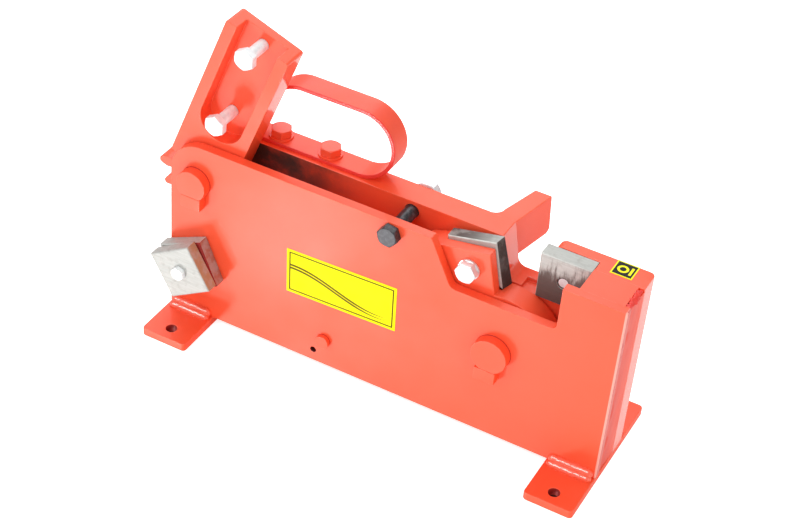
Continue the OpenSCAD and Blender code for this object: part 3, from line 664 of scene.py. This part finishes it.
def plate_edge_highlight_and_shade(tree, colour):
    """On the front plate: a painted highlight as a pale line down its right edge, pitted behind, and painted shade
    in the small hole.
    """
    at = point(tree)
    # Painted highlight down the right edge.
    right = map_range(tree, at["X"], *EDGE_HIGHLIGHT_X)
    behind = map_range(tree, at["Y"], *EDGE_HIGHLIGHT_PITS_Y)
    pits = mask(tree, "patches", 0.70, 0.90, Scale=160.0, Start=0.52, End=0.62)
    colour = mix_colour(tree, maths(tree, "MULTIPLY", right, EDGE_HIGHLIGHT_AMOUNT), colour, EDGE_HIGHLIGHT_PALE)
    # Painted shade in the small hole.
    low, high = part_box("stop_pin")
    r = from_axis(tree, at["X"], at["Z"],
                  (low[0] + high[0]) / 2 + SMALL_HOLE_X, (low[2] + high[2]) / 2 + SMALL_HOLE_Z)
    colour = mix_colour(tree, within(tree, r, SMALL_HOLE_R + TOUCH), colour, BORE_SHADE)
    return mix_colour(tree, chain(tree, "MULTIPLY", right, behind, pits), colour, THICK_RED_AND_SHADE)


def hole_shadow(tree, colour):
    """The walls of a foot's bolt holes, which no light reaches."""
    at = point(tree)
    walls = []
    for hole_x, hole_y in FOOT_HOLES:
        walls.append(within(tree, from_axis(tree, at["X"], at["Y"], hole_x, hole_y), FOOT_HOLE_R))
    return mix_colour(tree, chain(tree, "MAXIMUM", *walls), colour, HOLE_RED)


def coral_paint(name, extra=None, gloss=0.11, peel=0.5, end_gloss=None, edge_rub_and_highlight=0.6):
    """Sprayed coral paint, its edges paler with rubbing and a painted highlight; its right ends may shine more,
    and an extra function may change its colour.
    """
    mat, tree, shader = new_material(name)
    skin = use(tree, "sprayed", Peel=700.0, Cloud=16.0)
    cloud = mask(tree, "patches", 0.0, 0.16, Scale=9.0, Start=0.48, End=0.72)
    # Paler edges: partly rubbed paint, partly a painted highlight along the rounded edges.
    rub_and_highlight = mask(tree, "edges", 0.0, edge_rub_and_highlight, Reach=0.0009, Scale=160.0)
    colour = mix_colour(tree, rub_and_highlight, mix_colour(tree, cloud, CORAL, CORAL_DEEP), CORAL_EDGE_HIGHLIGHT)
    if extra:
        colour = extra(tree, colour)
    tree.links.new(colour, shader.inputs["Base Color"])
    tree.links.new(map_range(tree, skin["Cloud"], 0.3, 0.7, 0.48, 0.58), shader.inputs["Roughness"])
    shader.inputs["IOR"].default_value = PAINT_IOR
    shader.inputs["Coat Weight"].default_value = gloss
    if end_gloss:
        ends = mask(tree, "facing", gloss, end_gloss, Direction=(1, 0, 0))
        tree.links.new(ends, shader.inputs["Coat Weight"])
    shader.inputs["Coat Roughness"].default_value = PAINT_COAT_ROUGHNESS
    bump(tree, shader, skin["Height"], PEEL_HEIGHT, peel)
    return mat


# Steel, zinc, oxide and bronze.

BRIGHT_STEEL = (0.50, 0.505, 0.48, 1)
DULL_STEEL = (0.36, 0.365, 0.345, 1)
STEEL_FLECK = (0.20, 0.17, 0.14, 1)
SIDE_GREY = (0.16, 0.13, 0.11, 1)
SIDE_BLACK = (0.040, 0.026, 0.022, 1)
# The spare blades' sides: rust and stains, and a painted reflection of the red plate.
SIDE_TAN_AND_REFLECTION = (0.42, 0.27, 0.15, 1)
SIDE_RUST_AND_REFLECTION = (0.38, 0.13, 0.085, 1)
SPARE_SEAM_RED = (0.28, 0.012, 0.008, 1)
BROWN_STAIN = (0.055, 0.034, 0.030, 1)
DRIP_BROWN = (0.095, 0.062, 0.052, 1)
ZINC = (0.80, 0.81, 0.82, 1)
ZINC_DULL = (0.62, 0.63, 0.65, 1)
PALE_ZINC = (0.93, 0.95, 0.96, 1)
PALE_ZINC_DULL = (0.78, 0.80, 0.82, 1)
# Painted shade on the ring of a bolt's end where its thread starts.
THREAD_SHADE = (0.05, 0.035, 0.03, 1)
OXIDE = (0.026, 0.026, 0.030, 1)
OXIDE_GREY = (0.10, 0.10, 0.11, 1)
OXIDE_EDGE = (0.25, 0.24, 0.25, 1)
BRONZE = (0.62, 0.40, 0.16, 1)
BRONZE_DARK = (0.35, 0.21, 0.09, 1)

# Where the two spare blades meet, half the width of the dark red in that seam, and where along it the dark red
# starts.
SPARE_SEAM_Y = -0.0475
SPARE_SEAM_HALF = 0.0015
SPARE_SEAM_X = (-0.206, -0.200)
# Where the stain on the moving blade's top starts and is full, and its strength.
TOP_STAIN_X = (0.112, 0.060)
TOP_STAIN = 0.9
# Where the drips on the fixed blade's front start and are full, downwards and to the right, and their strength.
DRIP_Z = (0.206, 0.172)
DRIP_X = (0.163, 0.182)
DRIP = 0.9
# The fixed blade bolt's axis, and the radius from which painted shade of its thread darkens its front end.
FIXED_BOLT_X = 0.16048
FIXED_BOLT_Z = 0.18300
THREAD_SHADE_FROM_R = 0.0047


def spare_seam_dark(tree, colour):
    """Dark red in the seam between the two spare blades, towards their right."""
    at = point(tree)
    seam = maths(tree, "COMPARE", at["Y"], SPARE_SEAM_Y, SPARE_SEAM_HALF)
    right = map_range(tree, at["X"], *SPARE_SEAM_X)
    return mix_colour(tree, maths(tree, "MULTIPLY", seam, right), colour, SPARE_SEAM_RED)


def top_stain(tree, colour):
    """A brown stain over the left of the moving blade's top."""
    top = mask(tree, "facing", Direction=(0, 0, 1))
    left = map_range(tree, point(tree)["X"], *TOP_STAIN_X, soft=True)
    cloud = mask(tree, "patches", 0.6, 1.0, Scale=60.0, Start=0.38, End=0.56)
    return mix_colour(tree, chain(tree, "MULTIPLY", top, left, cloud, TOP_STAIN), colour, BROWN_STAIN)


def front_drips(tree, colour):
    """Stains that have run down the fixed blade's front."""
    at = point(tree)
    runs = use(tree, "streaks", Stretch=(1.0, 1.0, 0.20), Scale=190.0)[0]
    low = map_range(tree, at["Z"], *DRIP_Z, 0.0, 0.48, soft=True)
    right = map_range(tree, at["X"], *DRIP_X, 0.0, 0.16, soft=True)
    wet = map_range(tree, chain(tree, "ADD", runs, low, right), 0.54, 0.84, soft=True)
    front = mask(tree, "facing", Direction=(0, -1, 0))
    return mix_colour(tree, chain(tree, "MULTIPLY", wet, front, DRIP), colour, DRIP_BROWN)


def blade_steel(name, side_colour, side_amount, stain_and_reflection_side, blotchy, extra):
    """Ground steel with stains on the side that looks one way, on the spare blades with a painted reflection of
    the red plate there too, and with the marks of the extra function.
    """
    mat, tree, shader = new_material(name)
    lines = use(tree, "streaks", Stretch=(0.07, 1.0, 1.0), Scale=420.0)[0]
    colour = mix_colour(tree, map_range(tree, lines, 0.3, 0.7, 0.0, 0.6), BRIGHT_STEEL, DULL_STEEL)
    flecks = mask(tree, "patches", 0.0, 0.3, Scale=170.0, Start=0.5, End=0.75)
    colour = mix_colour(tree, flecks, colour, STEEL_FLECK)
    # On the spare blades this side colour is partly a painted reflection of the red plate.
    side = mask(tree, "facing", Direction=stain_and_reflection_side)
    blotch = mask(tree, "patches", 1.0 - blotchy, 1.0, Scale=75.0, Start=0.36, End=0.58)
    colour = mix_colour(tree, chain(tree, "MULTIPLY", side, blotch, side_amount), colour, side_colour)
    tree.links.new(extra(tree, colour), shader.inputs["Base Color"])
    tree.links.new(map_range(tree, lines, 0.3, 0.7, 0.56, 0.68), shader.inputs["Roughness"])
    shader.inputs["Metallic"].default_value = 0.35
    bump(tree, shader, lines, 0.00004, 0.35)
    return mat


def bright_zinc(name, mirror, light=ZINC, dull=ZINC_DULL, threaded=False):
    """Bright zinc; on the fixed blade bolt, painted shade darkens the front end where its thread starts."""
    mat, tree, shader = new_material(name)
    skin = use(tree, "sprayed", Peel=900.0, Cloud=60.0)
    colour = mix_colour(tree, mask(tree, "patches", Scale=160.0, Start=0.35, End=0.75), light, dull)
    # Painted shade on the ring of the bolt's end where its thread starts.
    if threaded:
        at = point(tree)
        r = from_axis(tree, at["X"], at["Z"], FIXED_BOLT_X, FIXED_BOLT_Z)
        outer = map_range(tree, r, THREAD_SHADE_FROM_R, THREAD_SHADE_FROM_R + 0.0003)
        in_front = maths(tree, "LESS_THAN", at["Y"], SLOT_Y)
        colour = mix_colour(tree, maths(tree, "MULTIPLY", outer, in_front), colour, THREAD_SHADE)
    tree.links.new(colour, shader.inputs["Base Color"])
    tree.links.new(map_range(tree, skin["Cloud"], 0.3, 0.7, 0.26, 0.40), shader.inputs["Roughness"])
    shader.inputs["Metallic"].default_value = mirror
    bump(tree, shader, skin["Height"], 0.00003, 0.4)
    return mat


def black_oxide():
    """Black oxide on a bolt, greyer in patches and on the edges."""
    mat, tree, shader = new_material("black_oxide")
    patch = use(tree, "patches", Scale=260.0, Start=0.42, End=0.72)[0]
    rub_and_highlight = mask(tree, "edges", 0.0, 0.6, Reach=0.0006, Scale=300.0)
    colour = mix_colour(tree, rub_and_highlight, mix_colour(tree, patch, OXIDE, OXIDE_GREY), OXIDE_EDGE)
    tree.links.new(colour, shader.inputs["Base Color"])
    tree.links.new(map_range(tree, patch, 0, 1, 0.34, 0.52), shader.inputs["Roughness"])
    shader.inputs["Metallic"].default_value = 0.4
    bump(tree, shader, patch, 0.00006, 0.4)
    return mat


def plain_bronze():
    mat, tree, shader = new_material("plain_bronze")
    patch = use(tree, "patches", Scale=120.0, Start=0.35, End=0.75)[0]
    tree.links.new(mix_colour(tree, patch, BRONZE, BRONZE_DARK), shader.inputs["Base Color"])
    tree.links.new(map_range(tree, patch, 0, 1, 0.25, 0.5), shader.inputs["Roughness"])
    shader.inputs["Metallic"].default_value = 1.0
    return mat


# The two films.

LABEL_YELLOW = (0.97, 0.90, 0.002, 1)
LABEL_YELLOW_DEEP = (0.93, 0.83, 0.004, 1)
LABEL_INK = (0.10, 0.07, 0.004, 1)
MARK_BLACK = (0.010, 0.010, 0.010, 1)
MARK_GREY = (0.035, 0.033, 0.03, 1)
MARK_YELLOW = (0.95, 0.90, 0.006, 1)

LABEL_MIDDLE = (-0.04328, 0.0, 0.1094)
LABEL_TURN = math.radians(-1.8)
LABEL_HALF_W = 0.05925
LABEL_HALF_H = 0.02525
# The border's distance from the label's rim, and half its width.
BORDER_IN = 0.0034
BORDER_HALF = 0.0007
# Middle height and drop of the two sweeping lines, and their thickness at the left and at the right.
SWEEPS = ((-0.0035, 0.0110), (-0.0068, 0.0108))
SWEEP_THICK = 0.0013
SWEEP_THIN = 0.00002
# Their turn over half the label's width, in radians, and its shift; where they thin out; how dark their ink is.
SWEEP_TURN = 2.0
SWEEP_SHIFT = 0.10
SWEEP_FADE = (0.25, 0.88)
SWEEP_INK = 3.0

MARK_MIDDLE = (0.20898, 0.0225, 0.0)
MARK_HALF = 0.0105
MARK_FRAME = 0.0013
# The ring's middle and radius, the bar's middle and half length, and half the width of both strokes.
RING_X = -0.0018
RING_R = 0.0042
BAR_X = 0.0062
BAR_HALF = 0.0058
STROKE_HALF = 0.0012


def label_film():
    """Yellow film with a thin dark border and two lines that sweep down and fade out."""
    mat, tree, shader = new_material("yellow_label")
    at = film_point(tree, LABEL_MIDDLE, LABEL_TURN)
    across = maths(tree, "SUBTRACT", LABEL_HALF_W, maths(tree, "ABSOLUTE", at["X"]))
    along = maths(tree, "SUBTRACT", LABEL_HALF_H, maths(tree, "ABSOLUTE", at["Z"]))
    rim = maths(tree, "MINIMUM", across, along)
    border = maths(tree, "COMPARE", rim, BORDER_IN, BORDER_HALF)
    t = maths(tree, "DIVIDE", at["X"], LABEL_HALF_W)

    def sweep(middle, drop):
        """A line that starts level at the left, drops through the middle and levels out again."""
        turn = maths(tree, "SINE", maths(tree, "MULTIPLY", maths(tree, "ADD", t, SWEEP_SHIFT), SWEEP_TURN))
        line = maths(tree, "SUBTRACT", middle, maths(tree, "MULTIPLY", turn, drop))
        gap = maths(tree, "ABSOLUTE", maths(tree, "SUBTRACT", at["Z"], line))
        width = map_range(tree, t, *SWEEP_FADE, SWEEP_THICK, SWEEP_THIN)
        ink = maths(tree, "SUBTRACT", 1.0, maths(tree, "DIVIDE", gap, width), clamp=True)
        return maths(tree, "MULTIPLY", ink, SWEEP_INK, clamp=True)

    lines = chain(tree, "MAXIMUM", *[sweep(middle, drop) for middle, drop in SWEEPS])
    inside = maths(tree, "GREATER_THAN", rim, BORDER_IN)
    ink = maths(tree, "MAXIMUM", border, maths(tree, "MULTIPLY", lines, inside))
    cloud = mask(tree, "patches", 0.0, 0.15, Scale=90.0, Start=0.45, End=0.8)
    yellow = mix_colour(tree, cloud, LABEL_YELLOW, LABEL_YELLOW_DEEP)
    tree.links.new(mix_colour(tree, ink, yellow, LABEL_INK), shader.inputs["Base Color"])
    tree.links.new(mask(tree, "patches", 0.45, 0.6, Scale=90.0, Start=0.45, End=0.8), shader.inputs["Roughness"])
    shader.inputs["Specular IOR Level"].default_value = 0.06
    return mat


def mark_film():
    """Small black film with a yellow frame and a plain ring over a bar."""
    mat, tree, shader = new_material("black_mark")
    at = film_point(tree, MARK_MIDDLE)
    off_x, off_y = maths(tree, "ABSOLUTE", at["X"]), maths(tree, "ABSOLUTE", at["Y"])
    rim = maths(tree, "SUBTRACT", MARK_HALF, maths(tree, "MAXIMUM", off_x, off_y))
    frame_line = maths(tree, "LESS_THAN", rim, MARK_FRAME)
    ring = maths(tree, "COMPARE", from_axis(tree, at["X"], at["Y"], RING_X, 0.0), RING_R, STROKE_HALF)
    bar = maths(tree, "MULTIPLY", maths(tree, "COMPARE", at["X"], BAR_X, STROKE_HALF),
                maths(tree, "LESS_THAN", off_y, BAR_HALF))
    ink = chain(tree, "MAXIMUM", frame_line, ring, bar)
    black = mix_colour(tree, mask(tree, "patches", Scale=300.0, Start=0.5, End=0.8), MARK_BLACK, MARK_GREY)
    tree.links.new(mix_colour(tree, ink, black, MARK_YELLOW), shader.inputs["Base Color"])
    tree.links.new(mask(tree, "patches", 0.4, 0.5, Scale=300.0, Start=0.5, End=0.8), shader.inputs["Roughness"])
    shader.inputs["Specular IOR Level"].default_value = 0.15
    return mat


# The finishes.

paint = coral_paint("coral_paint")
paint_slot_dark = coral_paint("coral_paint_slot_dark", slot_darkening, end_gloss=1.0)
paint_pins = coral_paint("coral_paint_pins", seam_shadow)
paint_deep = coral_paint("coral_paint_deep", deeper_coat, gloss=0.22, peel=0.2, edge_rub_and_highlight=0.1)
paint_strap = coral_paint("coral_paint_strap", strap_coat_and_shade, gloss=0.08, peel=0.1, edge_rub_and_highlight=0.0)
paint_bead = coral_paint("coral_paint_bead", bead_coat, gloss=0.1, peel=0.2, edge_rub_and_highlight=0.0)
paint_end = coral_paint("coral_paint_end", end_coat_and_shade, gloss=0.1, peel=0.3, edge_rub_and_highlight=0.0)
paint_edge_highlight_and_shade = coral_paint("coral_paint_edge_highlight_and_shade", plate_edge_highlight_and_shade)
paint_feet = coral_paint("coral_paint_feet", hole_shadow)
paint_welds = coral_paint("coral_paint_welds", gloss=1.0, peel=0.05)
paint_lever = coral_paint("coral_paint_lever", end_gloss=0.9)
fixed_steel = blade_steel("fixed_blade_steel", SIDE_GREY, 0.6, (-1, 0, 0), 0.4, front_drips)
moving_steel = blade_steel("moving_blade_steel", SIDE_BLACK, 0.97, (0.97, 0, 0.23), 0.15, top_stain)
spare_steel = blade_steel("spare_blade_steel", SIDE_TAN_AND_REFLECTION, 0.95, (0.87, 0, 0.48), 0.5, spare_seam_dark)
inner_steel = blade_steel("inner_blade_steel", SIDE_RUST_AND_REFLECTION, 0.95, (0.90, 0, 0.41), 0.5, spare_seam_dark)
zinc = bright_zinc("bright_zinc", 0.45)
pale_zinc = bright_zinc("pale_zinc", 0.15, PALE_ZINC, PALE_ZINC_DULL)
end_zinc = bright_zinc("end_zinc", 0.10, threaded=True)
oxide = black_oxide()
bearing_bronze = plain_bronze()


# The pieces.

# Width of the broken edges, by kind of piece.
CUT_EDGE = 0.0007
FOOT_EDGE = 0.0010
THICK_EDGE = 0.0009
STOP_PIN_EDGE = 0.0006
BLOCK_EDGE = 0.0012
WASHER_EDGE = 0.0003
BLADE_EDGE = 0.0004
# A ground seam stands this much above the plates' tops.
SEAM_RISE = 0.00004
# The large round of the rear plate, its steps, and how near its edge is looked for.
FAR_ROUND = 0.0055
FAR_ROUND_STEPS = 6
FAR_ROUND_REACH = 0.0002
# The moving blade's slanted side lies this far right of its middle, and is moved out by the second value at the
# top and by the third more at the foot.
SLANT_SIDE = 0.014
SLANT_TOP = 0.0017
SLANT_MORE = 0.0025

for node, width, finish in (("front_plate", CUT_EDGE, paint_edge_highlight_and_shade), ("left_foot", FOOT_EDGE, paint_feet),
                            ("right_foot", FOOT_EDGE, paint_feet), ("lever_socket", THICK_EDGE, paint_lever),
                            ("jaw_arm", BLOCK_EDGE, paint)):
    softened(node, width, finish)


def ground_flush(node, inside, sides):
    """A welded piece whose seam was ground off: its hidden sides reach into its neighbours."""
    obj = copy_of(node, node + "_flush")
    low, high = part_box(node)
    for v in obj.data.vertices:
        if abs(v.co.z - high[2]) < TOUCH:
            v.co.z += SEAM_RISE
        for y, way in ((low[1], -1), (high[1], 1)):
            if abs(v.co.y - y) < TOUCH and way in sides:
                v.co.y += way * inside

    def hidden(p):
        return p.y < low[1] - TOUCH or (1 in sides and p.y > high[1] + TOUCH)

    round_edges(obj, BLOCK_EDGE, spared=hidden)
    smooth(obj)
    stand_in(obj, node, paint)


ground_flush("end_block", 0.0015, (-1, 1))
ground_flush("bar_guide", 0.0020, (-1,))
for node, width in (("lever_pin", CUT_EDGE), ("arm_pin", CUT_EDGE), ("stop_pin", STOP_PIN_EDGE)):
    softened(node, width, paint_pins)
for node in ("lever_pin_keeper", "arm_pin_keeper"):
    softened(node, BLOCK_EDGE, paint)
softened("carry_handle", THICK_EDGE, paint_strap)
softened("carry_handle_washers", WASHER_EDGE, paint_deep)


def rear_plate():
    """The rear plate, with the large round down its far right edge."""
    obj = copy_of("rear_plate", "rear_plate_rounded")
    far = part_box("rear_plate")[1]

    def far_right(p):
        return abs(p.x - far[0]) < FAR_ROUND_REACH and abs(p.y - far[1]) < FAR_ROUND_REACH

    bevel_edges_at(obj, far_right, FAR_ROUND, FAR_ROUND_STEPS)
    round_edges(obj, THICK_EDGE)
    smooth(obj)
    stand_in(obj, "rear_plate", paint_slot_dark)


rear_plate()
for node, steel in (("fixed_blade", fixed_steel), ("spare_blade_outer", spare_steel),
                    ("spare_blade_inner", inner_steel)):
    softened(node, BLADE_EDGE, steel)


def moving_blade():
    """The moving blade, its right side ground at a slant, so that it reaches further at the back."""
    obj = copy_of("moving_blade", "moving_blade_ground")
    low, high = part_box("moving_blade")
    side_x, middle_y = (low[0] + high[0]) / 2 + SLANT_SIDE, (low[1] + high[1]) / 2
    for v in obj.data.vertices:
        if v.co.x > side_x and v.co.y > middle_y:
            v.co.x += SLANT_TOP + SLANT_MORE * (high[2] - v.co.z) / (high[2] - low[2])
    round_edges(obj, BLADE_EDGE)
    smooth(obj)
    stand_in(obj, "moving_blade", moving_steel)


moving_blade()
for node in ("fixed_blade_washer", "moving_blade_washer", "tie_bolt_washer"):
    softened(node, WASHER_EDGE, zinc)

# Middles of the heads' end faces; a handle bolt's head height and whole length; and for the others the length of
# the bar that their head and shank are turned in.
HANDLE_BOLT_FACES = ((-0.18519, -0.03756, 0.24113), (-0.15509, -0.03756, 0.32382))
HANDLE_BOLT_HEAD = 0.0075
HANDLE_BOLT_LENGTH = 0.043
BOLTS = (
    ("moving_blade_bolt", ((0.07930, -0.03186, 0.18120),), M12_FLATS, 0.050, "front", zinc),
    ("tie_bolt", ((0.00352, -0.04232, 0.19650),), M12_FLATS, 0.110, "front", oxide),
    ("spare_blade_bolt", ((-0.20648, -0.06654, 0.07600),), M8_FLATS, 0.060, "front", pale_zinc),
    ("fixed_blade_bolt", ((FIXED_BOLT_X, 0.04306, FIXED_BOLT_Z),), M12_FLATS, 0.050, "back", end_zinc),
    ("carry_handle_bolts", ((-0.14778, 0.0235, 0.22156), (-0.09378, 0.0235, 0.22156)), M12_FLATS, 0.050, "up",
     paint_deep),
    ("tie_bolt_nut", ((0.00352, 0.0474, 0.19650),), M12_FLATS, 0.050, "back", zinc),
)
handle_bolts(HANDLE_BOLT_FACES, HANDLE_BOLT_HEAD, HANDLE_BOLT_LENGTH, pale_zinc)
for bolt in BOLTS:
    hexagon_bolts(*bolt)

for node, finish in (("arm_thrust_washer", bearing_bronze), ("lever_bush", bearing_bronze),
                     ("arm_bush", bearing_bronze), ("plate_label", label_film()), ("capacity_label", mark_film())):
    nodes[node].data.materials.clear()
    nodes[node].data.materials.append(finish)


# The two passes of a foot weld: their radius, and how far they lie out of the corner.
WELD_R = 0.0050
WELD_NEAR = 0.0006
WELD_FAR = 0.0046
# The end weld metal: its grid and the length of edge that it divides, how far it swells towards the rear
# plate, its waves, and how far it reaches inside.
END_ROWS = 90
END_COLUMNS = 14
END_UPRIGHT_FROM = 0.1
END_LEVEL_FROM = 0.02
END_SWELL = 0.0008
END_WAVE = 0.0003
END_WAVE_SCALE = (0, 120, 60)
END_INSIDE = 0.0012
END_SMOOTH_ANGLE = math.radians(50)
# Its pits: their noise, their greatest depth, their growth over the noise's threshold, and the share of the
# width that they lie in.
PIT_SCALE = (0, 60, 55)
PIT_SHIFT = (5.0, 0, 0)
PIT_DEPTH = 0.0012
PIT_GROWTH = 0.016
PIT_THRESHOLD = 0.16
PIT_BAND = 0.22
# The rough bead on its top: where it starts from the metal's front top edge, its radius and its roughness.
TOP_BEAD_FROM = (0.0024, -0.0022, 0.0004)
TOP_BEAD_LONGER = 0.001
TOP_BEAD_R = 0.0030
TOP_BEAD_SEED = 12
TOP_BEAD_ROUGH = 0.9


def foot_welds(side, seed):
    """On one foot, two passes of weld before the front plate and two behind the rear plate."""
    node = side + "_foot_welds"
    low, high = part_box(node)
    length = high[0] - low[0]
    beads = []
    for side_y, way in ((FRONT_Y, -1), (BACK_Y, 1)):
        for out, up in ((WELD_NEAR, WELD_FAR), (WELD_FAR, WELD_NEAR)):
            start = (low[0], side_y + way * out, low[2] + up)
            beads.append(weld_bead(start, (1, 0, 0), length, WELD_R, seed + len(beads)))
    obj = join_all(beads)
    obj.name = side + "_foot_weld_beads"
    make_active(obj)
    bpy.ops.object.shade_smooth()
    stand_in(obj, node, paint_welds)


def grid_end_metal(obj):
    """Cuts the end weld metal's broad faces into a fine grid."""
    bpy.ops.object.mode_set(mode="EDIT")
    bpy.ops.mesh.select_all(action="SELECT")
    mesh = bmesh.from_edit_mesh(obj.data)
    upright = [e for e in mesh.edges if abs(e.verts[0].co.z - e.verts[1].co.z) > END_UPRIGHT_FROM]
    bmesh.ops.subdivide_edges(mesh, edges=upright, cuts=END_ROWS)
    level = [e for e in mesh.edges if abs(e.verts[0].co.y - e.verts[1].co.y) > END_LEVEL_FROM]
    bmesh.ops.subdivide_edges(mesh, edges=level, cuts=END_COLUMNS, use_grid_fill=True)
    bmesh.update_edit_mesh(obj.data)
    bpy.ops.object.mode_set(mode="OBJECT")


def end_welds():
    """The weld metal in the recess at the right end, slightly uneven, and the rough bead on its top."""
    low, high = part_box("end_welds")
    width = high[1] - low[1]
    obj = copy_of("end_welds", "end_weld_metal")
    grid_end_metal(obj)
    for v in obj.data.vertices:
        if v.co.x > high[0] - TOUCH:
            across = (v.co.y - low[1]) / width
            wave = noise_at(v.co, END_WAVE_SCALE, (0, 0, 0))
            pit = max(0.0, noise_at(v.co, PIT_SCALE, PIT_SHIFT) - PIT_THRESHOLD)
            v.co.x += END_SWELL * across + END_WAVE * wave
            v.co.x -= min(PIT_DEPTH, PIT_GROWTH * pit * max(0.0, 1.0 - across / PIT_BAND))
        if v.co.y > high[1] - TOUCH:
            v.co.y += END_INSIDE
    make_active(obj)
    bpy.ops.object.shade_smooth_by_angle(angle=END_SMOOTH_ANGLE)
    start = Vector((low[0], low[1], high[2])) + Vector(TOP_BEAD_FROM)
    bead = weld_bead(start, (0, 1, 0), width + TOP_BEAD_LONGER, TOP_BEAD_R, TOP_BEAD_SEED, TOP_BEAD_ROUGH)
    make_active(bead)
    bpy.ops.object.shade_smooth()
    bead.name = "end_weld_top_bead"
    bead.data.materials.clear()
    bead.data.materials.append(paint_bead)
    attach(bead, "frame")
    stand_in(obj, "end_welds", paint_end)


foot_welds("left", 1)
foot_welds("right", 4)
end_welds()


# The studio.

WHITE = (1, 1, 1, 1)
FLOOR_PALE = (0.86, 0.86, 0.86, 1)
# Painted shade for the floor seen through a foot hole.
FLOOR_HOLE_SHADE = (0.10, 0.012, 0.008, 1)
# Half the side of the square of painted shade on the floor under each foot hole.
HOLE_SHADE_HALF = 0.010
# The floor's own glow as the camera sees it, and in reflections.
FLOOR_GLOW = 0.75
FLOOR_GLOW_MIRRORED = 0.20
# The world's strength for light, for the camera, and its share in reflections.
WORLD_LIGHT = 0.82
WORLD_SEEN = 1.0
WORLD_MIRRORED = 0.65

# The lamps look at this point. Each has a name, a place, a size, a power in watts, and whether it is seen in
# reflections only.
CENTRE = Vector((0, 0, 0.12))
LAMPS = (
    ("low left", (-0.80, -1.58, -0.82), 0.24, 8.8, False),
    ("low left second", (-0.86, -1.40, -1.04), 0.24, 5.5, False),
    ("low front", (0.55, -1.80, -0.50), 1.5, 9, False),
    ("upper left", (-1.00, -1.25, 1.40), 0.30, 5, False),
    ("pale card", (-1.00, -1.25, 1.42), 0.9, 20, True),
    ("second pale card", (-0.22, -1.42, 1.42), 0.8, 24, True),
    ("high behind", (-0.65, 1.10, 1.65), 1.4, 17, False),
    ("right", (1.9, -0.5, 0.7), 1.2, 5, False),
)


def seen_by(tree, *rays):
    """1 for the named kinds of ray, 0 for the others."""
    path = tree.nodes.new("ShaderNodeLightPath")
    return chain(tree, "MAXIMUM", *[path.outputs[ray] for ray in rays])


def make_floor():
    """A pale floor that lets light through from below, with painted shade where it shows through the foot holes.
    """
    deselect()
    bpy.ops.mesh.primitive_plane_add(size=12.0, location=(0, 0, 0))
    floor = bpy.context.object
    floor.name = "floor"
    mat, tree, shader = new_material("pale_floor")
    at = point(tree)
    squares = []
    for hole_x, hole_y in FOOT_HOLES:
        off_x = maths(tree, "ABSOLUTE", maths(tree, "SUBTRACT", at["X"], hole_x))
        off_y = maths(tree, "ABSOLUTE", maths(tree, "SUBTRACT", at["Y"], hole_y))
        squares.append(maths(tree, "LESS_THAN", maths(tree, "MAXIMUM", off_x, off_y), HOLE_SHADE_HALF))
    # Painted shade: no glow and a dark colour under the foot holes.
    under = chain(tree, "MAXIMUM", *squares)
    tree.links.new(mix_colour(tree, under, FLOOR_PALE, FLOOR_HOLE_SHADE), shader.inputs["Base Color"])
    shader.inputs["Roughness"].default_value = 0.9
    seen = maths(tree, "MULTIPLY", seen_by(tree, "Is Camera Ray"), FLOOR_GLOW)
    mirrored = maths(tree, "MULTIPLY", seen_by(tree, "Is Glossy Ray", "Is Transmission Ray"), FLOOR_GLOW_MIRRORED)
    clear = maths(tree, "SUBTRACT", 1.0, under)
    glow = tree.nodes.new("ShaderNodeEmission")
    glow.inputs["Color"].default_value = WHITE
    tree.links.new(maths(tree, "MULTIPLY", maths(tree, "ADD", seen, mirrored), clear), glow.inputs["Strength"])
    add = tree.nodes.new("ShaderNodeAddShader")
    tree.links.new(shader.outputs[0], add.inputs[0])
    tree.links.new(glow.outputs[0], add.inputs[1])
    tree.links.new(add.outputs[0], tree.nodes["Material Output"].inputs["Surface"])
    floor.data.materials.append(mat)
    floor.visible_shadow = False


def make_world():
    """A white world, weaker as light and in reflections than to the camera."""
    world = bpy.data.worlds.new("studio")
    bpy.context.scene.world = world
    world.use_nodes = True
    tree = world.node_tree
    back = tree.nodes["Background"]
    back.inputs["Color"].default_value = WHITE
    seen = map_range(tree, seen_by(tree, "Is Camera Ray", "Is Transmission Ray"), 0, 1, WORLD_LIGHT, WORLD_SEEN)
    mirrored = map_range(tree, seen_by(tree, "Is Glossy Ray"), 0, 1, 1.0, WORLD_MIRRORED)
    tree.links.new(maths(tree, "MULTIPLY", seen, mirrored), back.inputs["Strength"])


def soft_lamp(name, place, size, power, mirrored_only):
    data = bpy.data.lights.new(name, "AREA")
    data.shape = "DISK"
    data.size = size
    data.energy = power
    lamp = bpy.data.objects.new(name, data)
    bpy.context.scene.collection.objects.link(lamp)
    lamp.location = place
    lamp.rotation_euler = (CENTRE - Vector(place)).to_track_quat("-Z", "Y").to_euler()
    lamp.visible_diffuse = not mirrored_only


make_floor()
make_world()
for lamp in LAMPS:
    soft_lamp(*lamp)

bpy.context.scene.view_settings.view_transform = "Standard"
